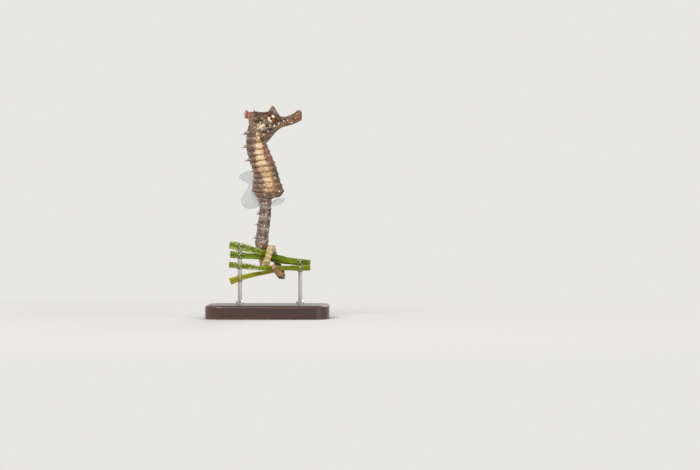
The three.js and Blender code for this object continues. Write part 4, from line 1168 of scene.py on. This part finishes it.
def skin_material(s):
    """Mottled skin with every marking, the painted shade and the painted light laid over it, torn at its
    edges by the skin's fine pattern.
    """
    material, g, shader = new_material("living_skin")
    place = g.position()
    broad = g.ramp(g.noise(380.0, 3.0, 0.5, place), (0.4, 0.0), (0.6, 1.0))
    blotches = g.group(mottle_group(), Patch_Scale=1150.0, Grain_Scale=3800.0, Grain=0.8)
    pattern = g.noise(1500.0, 4.0, 0.65, place)
    pale = g.ramp(g.ragged(g.mask("cream"), pattern, 0.9), (0.1, 0.0), (0.85, 1.0))
    dark = g.times(
        g.ramp(g.ragged(g.mask("dark"), pattern, 1.3), (0.25, 0.0), (0.6, 1.0)),
        g.ramp(g.mask("dark"), (0.0, 0.0), (0.25, 1.0)),
    )
    cells = g.add("ShaderNodeTexVoronoi")
    g.fill(cells.inputs, Vector=place, Scale=1500.0)
    chance = g.add("ShaderNodeSeparateColor")
    g.fill(chance.inputs, Color=cells.outputs["Color"])
    dots = g.times(
        g.ramp(cells.outputs["Distance"], (0.24, 1.0), (0.42, 0.0)),
        g.ramp(chance.outputs[0], (0.55, 0.0), (0.75, 1.0)),
    )
    pits = g.times(
        g.ramp(cells.outputs["Distance"], (0.3, 1.0), (0.55, 0.0)),
        g.ramp(chance.outputs[1], (0.6, 0.0), (0.8, 0.75)),
    )
    grain = g.ramp(g.noise(1700.0, 2.0, 0.55, place), (0.34, 0.2), (0.5, 0.5), (0.68, 0.86))
    colour = g.paint(
        g.blend(blotches["Patches"], s.dark, s.light),
        (g.math("MULTIPLY_ADD", broad, 0.25, 0.2), s.middle),
        # the tan and cream coats carry painted light on the tail behind the leaves; the shade coat is painted
        # shade
        (g.mask("tan", 0.75), s.tan),
        (g.mask("gold", 0.8), s.gold),
        (g.mask("shade", 0.8), s.dark),
        (g.mask("pink", 0.75), s.pink),
        (g.times(pale, 0.92), g.blend(g.mask("pink", 0.45), s.cream, s.pink)),
        (g.times(dark, 0.85), s.deep),
        (g.times(dots, g.mask("fleck", 0.75)), s.pearl),
        (g.times(pits, g.mask("fleck")), s.deep),
        (g.mask("mauve"), s.mauve),
        (g.mask("rust"), s.rust),
        (g.mask("pearl"), s.pearl),
    )
    g.fill(
        shader,
        Base_Color=g.blend(s.grain, colour, grain, "OVERLAY"),
        Roughness=g.math("MULTIPLY_ADD", blotches["Patches"], -0.14, 0.46),
        Normal=g.bump(g.math("MULTIPLY_ADD", dots, 0.5, blotches["Height"]), 0.5, 0.00012),
        Subsurface_Weight=0.1,
        Subsurface_Radius=(1.0, 0.7, 0.5),
        Subsurface_Scale=0.0002,
        Specular_IOR_Level=0.15,
        Coat_Weight=0.15,
        Coat_Roughness=0.12,
    )
    return material


class SEAHORSE_OT_skin(bpy.types.Operator):
    """Fuses head, coronet, neck, trunk, tail and spines into one skin and colours it"""

    bl_idname = "seahorse.skin"
    bl_label = "Skin"

    def execute(self, context):
        settings = context.scene.seahorse_skin
        voxel = settings.voxel * 1.0
        short_spines, short_tips = head_spines()
        long_spines, long_tips = body_spines()
        parts = [skull(), body_sweep(), *short_spines, *long_spines, *gill_covers(), *coronet()]
        points, quads = fused(parts, voxel)
        points = relaxed(points, quads, 2, 0.5)
        normals = surface_normals(points, quads)
        rough = np.array([noise.noise(p) for p in points * ROUGH["scale"]]) * ROUGH["height"]
        points = sculpt_head(points + normals * rough[:, None], normals)
        skin = mesh_object("seahorse_skin", points, quads.tolist())
        give(skin, **skin_masks(points, short_tips, long_tips))
        dress(skin, skin_material(settings), "skin", *BODY_NODES)
        return {"FINISHED"}


# ---------------------------------------------------------------- eyes


PUPIL_EDGE = (0.26, 0.42)  # shares of the eye's radius where the iris begins
IRIS = {
    # angle from straight ahead, half width, strength
    "pale": [(-2.35, 0.95, 1.1), (0.95, 0.6, 1.1), (2.9, 0.4, 0.6)],
    "dark": [(2.1, 0.42, 1.1), (-0.1, 0.3, 0.9), (-1.1, 0.25, 0.45)],
}


def eye_material(s, name):
    """A pupil in a red-brown ring, an iris with rays that spread from it, and a brown lid."""
    material, g, shader = new_material(name)
    disc, turn = g.mask("disc"), g.mask("turn")
    place = g.add("ShaderNodeCombineXYZ")
    g.fill(place.inputs, X=g.math("COSINE", turn), Y=g.math("SINE", turn), Z=g.times(disc, 0.15))
    rays = g.noise(8.0, 4.0, 0.75, place.outputs[0], 0.5)
    colour = g.paint(
        s.amber,
        (g.ramp(rays, (0.35, 0.0), (0.6, 0.5)), s.rust),
        (g.ramp(g.ragged(g.mask("pale"), rays, 1.1), (0.35, 0.0), (0.6, 1.0)), s.cream),
        (g.ramp(g.ragged(g.mask("dark"), rays, 1.1), (0.4, 0.0), (0.62, 1.0)), s.rust),
        (g.ramp(g.ragged(disc, rays, 0.5), (0.72, 0.0), (0.95, 0.8)), s.lid),
        (g.ramp(disc, (0.27, 1.0), (0.42, 0.0)), s.amber),
        (g.ramp(disc, (0.22, 0.8), (0.32, 0.0)), s.rust),
        (g.ramp(disc, (0.2, 1.0), (0.24, 0.0)), s.pupil),
    )
    g.fill(
        shader,
        Base_Color=colour,
        Normal=g.bump(rays, 0.25, 0.00006),
        Roughness=0.35,
        Specular_IOR_Level=0.1,
        Coat_Weight=0.25,
        Coat_Roughness=0.02,
    )
    return material


def eyeball(side):
    """An eyeball with a clear bulge over the pupil, its pole towards the side."""
    polar = np.linspace(0.0, math.pi, EYE_ROWS)[1:-1]
    turn = full_turn(EYE_SIDES)
    reach = np.sin(polar)[:, None]
    bulge = 1 + 0.1 * hump(polar, 0, 0.55)[:, None]
    x = reach * np.cos(turn) * EYE["radius"]
    y = np.repeat(np.cos(polar)[:, None] * bulge, EYE_SIDES, axis=1) * EYE["depth"]
    z = reach * np.sin(turn) * EYE["radius"]
    sections = np.stack([x, y * side, z], axis=-1) + (EYE["x"], side * EYE["apart"], EYE["z"])
    points, faces = loft(sections)
    if side < 0:
        faces = [face[::-1] for face in faces]
    return points, faces


def iris_masks(points, side):
    """Share of the eye's radius, angle, and how strongly each point belongs to the pale and dark sectors."""
    ahead, out, up = eye_offsets(points)
    disc = np.hypot(ahead, up) / EYE["radius"]
    disc = np.where((out - side * EYE["apart"]) * side < 0, 1.0, disc)
    turn = np.arctan2(up, ahead)
    masks = {"disc": disc, "turn": turn}
    for kind, sectors in IRIS.items():
        masks[kind] = 0.0
        for angle, wide, strength in sectors:
            off = (turn - angle + math.pi) % (2 * math.pi) - math.pi
            masks[kind] = masks[kind] + strength * hump(off, 0, wide)
        masks[kind] = np.clip(masks[kind] * smooth(disc, *PUPIL_EDGE), 0, 1)
    return masks


class SEAHORSE_OT_eyes(bpy.types.Operator):
    """Sets the two eyes in their sockets"""

    bl_idname = "seahorse.eyes"
    bl_label = "Eyes"

    def execute(self, context):
        settings = context.scene.seahorse_eyes
        for name, side in (("eye_left", 1), ("eye_right", -1)):
            points, faces = eyeball(side)
            eye = mesh_object("seahorse_" + name, points, faces)
            give(eye, **iris_masks(points, side))
            dress(eye, eye_material(settings, name + "_finish"), "eye", name)
        return {"FINISHED"}


# ---------------------------------------------------------------- fins


FIN = {"film": 0.07, "ray": 0.07, "ripple": 0.04, "scallop": 0.02, "ray_columns": 8}
FINS = {
    # rays, rows from root to rim, how much of it is seen
    "fin_dorsal": (20, 28, "clear"), "fin_anal": (4, 12, "clear"),
    "fin_pectoral_left": (15, 14, "faint"), "fin_pectoral_right": (15, 14, "faint"),
}
FIN_STRENGTH = {"clear": 1.0, "faint": 0.1}
DORSAL_ROOT_POINTS, DORSAL_SUNK = 10, 0.25


def fan(root, rim, rays, across):
    """A fin between a root line and a rim line: (points, faces, ray mask, distance out)."""
    columns = rays * FIN["ray_columns"] + 1
    root_line, rim_line = Line(root), Line(rim)
    share = np.linspace(0, 1, columns)
    out = np.linspace(0, 1, across)
    start = root_line.at(share * root_line.length)
    end = rim_line.at(share * rim_line.length)
    ray = np.abs(np.cos(math.pi * rays * share)) ** 6
    scallop = 1 - FIN["scallop"] * (1 - ray)
    reach = out[None, :, None] * mix(1.0, scallop[:, None, None], out[None, :, None] ** 4)
    middle = mix(start[:, None], end[:, None], reach)
    normal = unit(np.cross(np.gradient(middle, axis=0), np.gradient(middle, axis=1)))
    half = (FIN["film"] + FIN["ray"] * ray[:, None] * (1 - 0.7 * out[None])) / 2
    ripple = FIN["ripple"] * np.sin(math.pi * rays * share * 2)[:, None] * out[None]
    faces_out = middle + normal * (half + ripple)[..., None]
    faces_in = middle - normal * (half - ripple)[..., None]
    sections = np.concatenate([faces_out, faces_in[:, ::-1]], axis=1)
    points, faces = loft(sections)
    mask = np.concatenate([np.repeat(ray[:, None], across, 1)] * 2, axis=1).ravel()
    outs = np.concatenate([np.tile(out, (columns, 1)), np.tile(out[::-1], (columns, 1))], axis=1).ravel()
    return points, faces, np.append(mask, [1, 1]), np.append(outs, [0.5, 0.5])


def fin_material(s, name, strength):
    """Clear film: more of it shows along the rays, at the root and at the rim."""
    material, g, shader = new_material(name)
    ray, out = g.mask("ray"), g.mask("out")
    cloud = g.noise(600.0, 4.0, 0.6, g.position())
    alpha = g.math("MULTIPLY_ADD", ray, 0.07, s.clear)
    alpha = g.math("ADD", alpha, g.ramp(out, (0.0, 0.22), (0.35, 0.0)))
    alpha = g.math("ADD", alpha, g.ramp(out, (0.93, 0.0), (1.0, 0.12)))
    g.fill(
        shader,
        Base_Color=g.blend(g.times(ray, 0.6), s.film, s.ray),
        Alpha=g.math("MULTIPLY", g.ragged(alpha, cloud, 0.3), strength, clamp=True),
        Roughness=0.35,
        Coat_Weight=0.3,
        Coat_Roughness=0.15,
    )
    return material


def mirrored(rows):
    """The same points on the other side."""
    return [(x, -y, z) for x, y, z in rows]


class SEAHORSE_OT_fins(bpy.types.Operator):
    """Adds the clear, rayed fins"""

    bl_idname = "seahorse.fins"
    bl_label = "Fins"

    def execute(self, context):
        settings = context.scene.seahorse_fins
        finishes = {how: fin_material(settings, how + "_fin", share) for how, share in FIN_STRENGTH.items()}
        dorsal_rings = np.linspace(*DORSAL_ROOT, DORSAL_ROOT_POINTS)
        edges = {
            "fin_dorsal": ([body_point(ring, 0, 1, -DORSAL_SUNK) for ring in dorsal_rings], DORSAL_RIM),
            "fin_anal": (ANAL_ROOT, ANAL_RIM),
            "fin_pectoral_left": (PECTORAL_ROOT, PECTORAL_RIM),
            "fin_pectoral_right": (mirrored(PECTORAL_ROOT), mirrored(PECTORAL_RIM)),
        }
        for name, (rays, across, finish) in FINS.items():
            points, faces, ray, out = fan(*edges[name], rays, across)
            fin = mesh_object("seahorse_" + name, points, faces)
            give(fin, ray=ray, out=out)
            dress(fin, finishes[finish], "fin", name)
        return {"FINISHED"}


# ---------------------------------------------------------------- leaves


LEAF_LOOKS = {
    # slot, yellow, stain, crust at the near end, growths, share of the leaf that carries them
    "leaf_top": ("leaf", 0.0, 0.4, 0.9, 90, 0.4),
    "leaf_upper": ("leaf", -0.05, 0.2, 0.35, 25, 0.3),
    "leaf_lower": ("leaf", 0.15, 0.5, 1.0, 110, 0.45),
    "leaf_bottom": ("leaf_yellow", 0.75, 0.3, 0.3, 12, 0.2),
}
LEAF_SEED, CRUST_SEED = 3, 11  # of the first leaf
VEINS = 13  # waves of the veins in half a leaf's width, as an angle


def leaf_frame(points):
    """A leaf's length, middle line, flat side, width direction and width, at even steps along it."""
    rows = np.asarray(points, float)
    line = Line(rows[:, :3])
    distance = np.linspace(0, line.length, LEAF_ROWS)
    middle = line.at(distance)
    along = line.along(distance)
    flat = unit(np.array([0, 1.0, 0]) - along * along[:, 1:2])
    across = np.cross(flat, along)
    width = read_table(rows[:, [0, 3]], middle[:, 0])[:, 0]
    return distance, middle, flat, across, width


def leaf_mesh(points, seed):
    """A ribbon leaf with raised veins, a soft wave and cut ends: (points, faces, edge mask, vein mask)."""
    distance, middle, flat, across, width = leaf_frame(points)
    turn = full_turn(LEAF_SIDES)
    w = -np.cos(turn)
    body = np.sin(turn)
    veins = np.cos(w * VEINS)
    profile = np.sign(body) * (0.42 * np.abs(body) ** 0.6 + 0.05 * veins * (1 - w**2))
    phase = np.random.default_rng(seed).uniform(0, 6.28, 4)
    wave = 0.05 * np.sin(distance * 0.9 + phase[0]) + 0.03 * np.sin(distance * 2.3 + phase[1])
    swell = 1 + 0.03 * np.sin(distance * 1.7 + phase[2]) + 0.015 * np.sin(distance * 5.1 + phase[3])
    sideways = w[None, :] * (width * swell / 2)[:, None]
    thickness = np.repeat(profile[None, :], len(distance), 0) * LEAF_THICK
    cup = wave[:, None] * (w[None, :] ** 2) * 0.6
    sections = middle[:, None] + sideways[..., None] * across[:, None]
    sections = sections + (thickness + cup)[..., None] * flat[:, None]
    edge, vein = (
        np.append(np.tile(row, len(distance)), [0.5, 0.5]) for row in (np.abs(w), 0.5 + 0.5 * veins)
    )
    return *loft(sections), edge, vein


def leaf_material(s, name, yellow, stain):
    """Green with light and dark streaks along it, yellow at the edges, specked with pale growth."""
    material, g, shader = new_material(name)
    fibre = g.group(fibre_group(), Stretch=(0.04, 1.0, 1.0), Scale=2200.0, Wander=0.1)
    patches = g.group(mottle_group(), Patch_Scale=420.0, Grain_Scale=3600.0, Grain=0.6)
    streaks = g.ramp(fibre["Lines"], (0.42, 0.0), (0.58, 1.0))
    stained = g.noise(260.0, 4.0, 0.6, g.position())
    specks = g.ramp(g.noise(2600.0, 3.0, 0.6, g.position()), (0.6, 0.0), (0.66, 1.0))
    colour = g.paint(
        s.green,
        (g.times(streaks, 0.9), s.bright),
        (g.math("MULTIPLY_ADD", patches["Patches"], 0.3, yellow, clamp=True), s.yellow),
        (g.ramp(g.mask("edge"), (0.0, 0.7), (0.16, 0.0)), s.deep),
        (g.mask("vein", 0.3), s.deep),
        (g.ramp(g.mask("edge"), (0.82, 0.0), (0.97, 0.7)), s.yellow),
        (g.ramp(stained, (0.55, 0.0), (0.68, stain)), s.brown),
        (g.times(specks, g.mask("crust")), s.crust),
    )
    g.fill(
        shader,
        Base_Color=colour,
        Roughness=g.math("MULTIPLY_ADD", fibre["Lines"], 0.2, 0.24),
        Normal=g.bump(fibre["Lines"], 0.35, 0.00015),
        Subsurface_Weight=0.08,
        Subsurface_Radius=(0.4, 0.9, 0.15),
        Subsurface_Scale=0.0005,
        Specular_IOR_Level=0.12,
        Coat_Weight=0.08,
        Coat_Roughness=0.15,
    )
    return material


def crust_blobs(points, reach, count, seed):
    """Small pale growths on the first part of a leaf."""
    distance, middle, flat, across, width = leaf_frame(points)
    rng = np.random.default_rng(seed)
    parts = []
    for _ in range(count):
        i = int(rng.uniform(0.0, reach) * (len(distance) - 1))
        w = rng.choice([-1, 1]) * rng.uniform(0.45, 0.98)
        face = rng.choice([-1, -1, 1])
        depth = 0.42 * (1 - w * w) ** 0.3 * LEAF_THICK
        centre = middle[i] + across[i] * w * width[i] / 2 + flat[i] * face * depth
        size = rng.uniform(0.06, 0.17)
        parts.append(ball(centre, (size * rng.uniform(0.9, 1.7), size * 0.8, size), rng.uniform(0, 3), 10, 7))
    return joined(parts)


def crust_material(s):
    """Pale, rough growth with yellowish patches."""
    material, g, shader = new_material("pale_crust")
    grain = g.group(mottle_group(), Patch_Scale=2500.0, Grain_Scale=9000.0, Grain=0.5)
    g.fill(
        shader,
        Base_Color=g.blend(g.times(grain["Patches"], 0.5), s.crust, s.yellow),
        Normal=g.bump(grain["Height"], 0.4, 0.00008),
        Roughness=0.6,
    )
    return material


class SEAHORSE_OT_leaves(bpy.types.Operator):
    """Lays the four cut seagrass leaves and the pale growth on them"""

    bl_idname = "seahorse.leaves"
    bl_label = "Leaves"

    def execute(self, context):
        settings = context.scene.seahorse_leaves
        growths = []
        for i, (name, points) in enumerate(LEAVES.items()):
            slot, yellow, stain, crust, count, reach = LEAF_LOOKS[name]
            mesh_points, faces, edge, vein = leaf_mesh(points, LEAF_SEED + i)
            leaf = mesh_object("seagrass_" + name, mesh_points, faces)
            give(leaf, edge=edge, vein=vein, crust=crust * mix(1.0, 0.35, smooth(mesh_points[:, 0], -6, 0)))
            dress(leaf, leaf_material(settings, name + "_finish", yellow, stain), slot, name)
            growths.append(crust_blobs(points, reach, count, CRUST_SEED + i))
        dress(mesh_object("seagrass_crust", *joined(growths)), crust_material(settings), "leaf")
        return {"FINISHED"}


# ---------------------------------------------------------------- stand


def plate_outline(length, width, corner):
    """The outline of a plate with round corners."""
    x, y = length / 2 - corner, width / 2 - corner
    quarter = np.linspace(0, math.pi / 2, CORNER_STEPS)
    points = []
    for cx, cy, start in ((x, y, 0), (-x, y, 0.5), (-x, -y, 1), (x, -y, 1.5)):
        turn = quarter + start * math.pi
        points.append(np.stack([cx + corner * np.cos(turn), cy + corner * np.sin(turn)], axis=-1))
    return np.vstack(points)


def base_mesh():
    """The plate: square sides and a rounded top edge."""
    bevel, foot = BASE["bevel"], BASE["foot"]
    rows = [(foot, 0.0), (0.0, foot), (0.0, BASE["height"] - bevel)]
    for turn in np.linspace(0, math.pi / 2, 8)[1:]:
        rows.append((bevel * (1 - math.cos(turn)), BASE["height"] - bevel * (1 - math.sin(turn))))
    sections = []
    for inset, height in rows:
        outline = plate_outline(BASE["length"] - 2 * inset, BASE["width"] - 2 * inset, BASE["corner"] - inset)
        sections.append(np.column_stack([outline, np.full(len(outline), height)]))
    return loft(sections)


def rod_mesh(x, y, top):
    """A rod with a domed tip, in a collar on the base."""
    r, wide, bevel = ROD["radius"], ROD["collar"], ROD["collar_bevel"]
    floor = BASE["height"]
    shoulder = floor + ROD["collar_height"]
    cone_from = shoulder - ROD["collar_cone"]
    profile = [(wide, floor), (wide, cone_from), (wide - bevel, cone_from + bevel), (r, shoulder)]
    for turn in np.linspace(0, math.pi / 2 - 0.05, ROD["tip_rows"]):
        profile.append((r * math.cos(turn), top - ROD["tip_height"] * (1 - math.sin(turn))))
    turn = full_turn(LATHE_SIDES)
    ring = np.stack([np.cos(turn), np.sin(turn)], axis=-1)
    return loft([np.column_stack([ring * radius + (x, y), np.full(LATHE_SIDES, z)]) for radius, z in profile])


def wood_material(s):
    """Stained wood with its grain along the base."""
    material, g, shader = new_material("stained_wood")
    fibre = g.group(fibre_group(), Stretch=(0.06, 1.0, 1.0), Scale=900.0, Wander=0.5)
    broad = g.group(fibre_group(), Stretch=(0.12, 1.0, 0.5), Scale=220.0, Wander=1.2)
    colour = g.paint(
        s.wood,
        (g.times(g.ramp(fibre["Lines"], (0.38, 1.0), (0.62, 0.0)), 0.7), s.wood_dark),
        (g.ramp(broad["Lines"], (0.42, 0.0), (0.62, 0.6)), s.wood_dark),
    )
    g.fill(
        shader,
        Base_Color=colour,
        Roughness=g.math("MULTIPLY_ADD", fibre["Lines"], 0.25, 0.28),
        Normal=g.bump(fibre["Lines"], 0.2, 0.0001),
        Coat_Weight=0.25,
        Coat_Roughness=0.2,
    )
    return material


def metal_material(s):
    """Steel brushed along the rods."""
    material, g, shader = new_material("brushed_metal")
    fibre = g.group(fibre_group(), Stretch=(1.0, 1.0, 0.05), Scale=5000.0, Wander=0.0)
    g.fill(
        shader,
        Base_Color=g.blend(g.times(fibre["Lines"], 0.3), s.metal, s.metal_dark),
        Roughness=g.math("MULTIPLY_ADD", fibre["Lines"], 0.2, 0.22),
        Normal=g.bump(fibre["Lines"], 0.1, 0.00003),
        Metallic=1.0,
    )
    return material


def wire_loop(x, z, front, back, reach, slope):
    """A closed loop of wire: slanted across the leaves in front, and round the rod behind."""
    turn = full_turn(WIRE_ROWS)
    c, s = np.cos(turn), np.sin(turn)
    side = np.sign(c) * np.abs(c) ** 0.7 * reach
    depth = (front + back) / 2 + np.sign(s) * np.abs(s) ** 0.7 * (back - front) / 2
    tilt = math.radians(slope)
    middle = np.stack([x + side * math.cos(tilt), depth, z + side * math.sin(tilt)], axis=-1)
    along = unit(np.roll(middle, -1, 0) - np.roll(middle, 1, 0))
    flat = np.array([-math.sin(tilt), 0, math.cos(tilt)])
    across = np.cross(along, flat)
    ring = full_turn(WIRE_SIDES)
    tube = middle[:, None] + TIE_RADIUS * (
        np.cos(ring)[None, :, None] * flat + np.sin(ring)[None, :, None] * across[:, None]
    )
    points = tube.reshape(-1, 3)
    faces = grid_faces(WIRE_ROWS + 1, WIRE_SIDES)  # the last row is the first again
    return points, [[i % len(points) for i in face] for face in faces]


class SEAHORSE_OT_stand(bpy.types.Operator):
    """Makes the base, the rods that carry the leaves and the wire that ties them"""

    bl_idname = "seahorse.stand"
    bl_label = "Stand"

    def execute(self, context):
        settings = context.scene.seahorse_stand
        base = mesh_object("display_base", *base_mesh())
        base.data.set_sharp_from_angle(angle=SHARP_ANGLE)
        dress(base, wood_material(settings), "stand_wood", "stand_base")
        metal = metal_material(settings)
        for name, place in RODS.items():
            rod = mesh_object(name.replace("stand", "display"), *rod_mesh(*place))
            rod.data.set_sharp_from_angle(angle=SHARP_ANGLE)
            dress(rod, metal, "stand_metal", name)
        loops = [wire_loop(*place, slope) for place in TIES for slope in TIE_SLOPES]
        dress(mesh_object("display_ties", *joined(loops)), metal, "stand_metal")
        return {"FINISHED"}


# ---------------------------------------------------------------- stage


FLOOR_RINGS = (0.01, 0.1, 0.4, 1.0, 4.0)  # metres from the middle
FLOOR_FADE = (0.03, 0.2)  # metres between which the floor turns into the background
WORLD_LIGHT = ((1.0, 0.99, 0.97, 1.0), 0.42)
LAMPS = {
    # place, size, watts, colour
    "key_light": ((-0.28, -0.5, 0.5), 0.3, 3.0, (1.0, 0.98, 0.95)),
    "fill_light": ((0.45, -0.4, 0.2), 0.4, 0.8, (0.96, 0.98, 1.0)),
    "back_light": ((0.2, 0.5, 0.4), 0.3, 1.3, (1.0, 1.0, 1.0)),
}
LAMP_AIM = (0.0, 0.0, 0.035)
SEEN_WIDTH = 0.2059  # metres that the camera sees across, at the animal's own distance
SEEN_MIDDLE = (0.0241, 0.0244)  # x and z in the middle of the view
SENSOR = 36.0


def floor_material(s):
    """Pale floor that turns into the plain background far from the object."""
    material, g, shader = new_material("studio_floor")
    g.fill(shader, Base_Color=s.floor, Roughness=0.85, Specular_IOR_Level=0.15)
    distance = g.add("ShaderNodeVectorMath", operation="LENGTH")
    g.put(distance.inputs[0], g.position())
    share = g.ramp(distance.outputs["Value"], (FLOOR_FADE[0], 0.0), (FLOOR_FADE[1], 1.0))
    glow = g.add("ShaderNodeEmission")
    g.fill(glow.inputs, Color=s.floor)
    g.mix_shaders(share, g.tree.nodes["Principled BSDF"].outputs[0], glow.outputs[0], "Material Output")
    return material


def studio_world(s):
    """Soft white light all round, behind which the plain background shows."""
    world = bpy.data.worlds.new("studio_world")
    world.use_nodes = True
    g = Graph(world.node_tree)
    light = g.tree.nodes["Background"]
    g.fill(light.inputs, Color=WORLD_LIGHT[0], Strength=WORLD_LIGHT[1])
    seen = g.add("ShaderNodeBackground")
    g.fill(seen.inputs, Color=s.floor)
    path = g.add("ShaderNodeLightPath").outputs
    direct = g.math("MAXIMUM", path["Is Camera Ray"], path["Is Glossy Ray"])
    share = g.math("MAXIMUM", direct, path["Is Transmission Ray"])
    g.mix_shaders(share, light.outputs[0], seen.outputs[0], "World Output")
    return world


def floor_mesh():
    """A wide disc in rings."""
    turn = full_turn(FLOOR_SIDES)
    disc = np.stack([np.cos(turn), np.sin(turn), np.zeros(FLOOR_SIDES)], axis=-1)
    points = np.vstack([[(0, 0, 0)], *[disc * (radius / MM) for radius in FLOOR_RINGS]])
    faces = [[0, 1 + j, 1 + (j + 1) % FLOOR_SIDES] for j in range(FLOOR_SIDES)]
    faces += [[i + 1 for i in face[::-1]] for face in grid_faces(len(FLOOR_RINGS), FLOOR_SIDES)]
    return points, faces


def lamp(name, place, size, watts, colour):
    """A round soft lamp that points at the animal."""
    light = bpy.data.lights.new(name, "AREA")
    light.shape = "DISK"
    light.size = size
    light.energy = watts
    light.color = colour
    obj = bpy.data.objects.new(name, light)
    obj.location = place
    obj.rotation_euler = (Vector(LAMP_AIM) - Vector(place)).to_track_quat("-Z", "Y").to_euler()
    bpy.context.scene.collection.objects.link(obj)


def level_camera(lens):
    """A camera that looks level along +Y."""
    camera = bpy.data.cameras.new("camera")
    camera.lens = lens
    camera.sensor_width = SENSOR
    camera.clip_start = 0.01
    camera.clip_end = 20.0
    view = bpy.data.objects.new("camera", camera)
    view.location = (SEEN_MIDDLE[0], -SEEN_WIDTH * lens / SENSOR, SEEN_MIDDLE[1])
    view.rotation_euler = (math.pi / 2, 0.0, 0.0)
    bpy.context.scene.collection.objects.link(view)
    return view


class SEAHORSE_OT_stage(bpy.types.Operator):
    """Sets the floor, the lamps and the camera"""

    bl_idname = "seahorse.stage"
    bl_label = "Stage"

    def execute(self, context):
        settings = context.scene.seahorse_stage
        scene = context.scene
        floor = mesh_object("studio_floor", *floor_mesh())
        floor.data.materials.append(floor_material(settings))
        scene.world = studio_world(settings)
        for name, how in LAMPS.items():
            lamp(name, *how)
        scene.camera = level_camera(settings.lens)
        scene.view_settings.view_transform = "Standard"
        return {"FINISHED"}


# ---------------------------------------------------------------- add-on


class SEAHORSE_PT_panel(bpy.types.Panel):
    """Lists the pieces and their settings"""

    bl_label = "Seahorse"
    bl_idname = "SEAHORSE_PT_panel"
    bl_space_type = "VIEW_3D"
    bl_region_type = "UI"
    bl_category = "Seahorse"

    def draw(self, context):
        for key, (_, operator) in PIECES.items():
            box = self.layout.box()
            box.operator(operator.bl_idname)
            settings = getattr(context.scene, "seahorse_" + key)
            for name in settings.bl_rna.properties.keys():
                if name not in ("rna_type", "name"):
                    box.prop(settings, name)


PIECES = {
    # settings and operator of each piece or group
    "skin": (SeahorseSkinSettings, SEAHORSE_OT_skin),
    "eyes": (SeahorseEyeSettings, SEAHORSE_OT_eyes),
    "fins": (SeahorseFinSettings, SEAHORSE_OT_fins),
    "leaves": (SeahorseLeafSettings, SEAHORSE_OT_leaves),
    "stand": (SeahorseStandSettings, SEAHORSE_OT_stand),
    "stage": (SeahorseStageSettings, SEAHORSE_OT_stage),
}


def register():
    """Registers the settings, the operators and the panel."""
    for key, (settings, operator) in PIECES.items():
        bpy.utils.register_class(settings)
        bpy.utils.register_class(operator)
        setattr(bpy.types.Scene, "seahorse_" + key, bpy.props.PointerProperty(type=settings))
    bpy.utils.register_class(SEAHORSE_PT_panel)


def unregister():
    """Takes them away again."""
    bpy.utils.unregister_class(SEAHORSE_PT_panel)
    for key, (settings, operator) in reversed(PIECES.items()):
        delattr(bpy.types.Scene, "seahorse_" + key)
        bpy.utils.unregister_class(operator)
        bpy.utils.unregister_class(settings)


def main():
    """Builds every piece."""
    register()
    bpy.ops.seahorse.skin()
    bpy.ops.seahorse.eyes()
    bpy.ops.seahorse.fins()
    bpy.ops.seahorse.leaves()
    bpy.ops.seahorse.stand()
    bpy.ops.seahorse.stage()


if __name__ == "__main__":
    main()
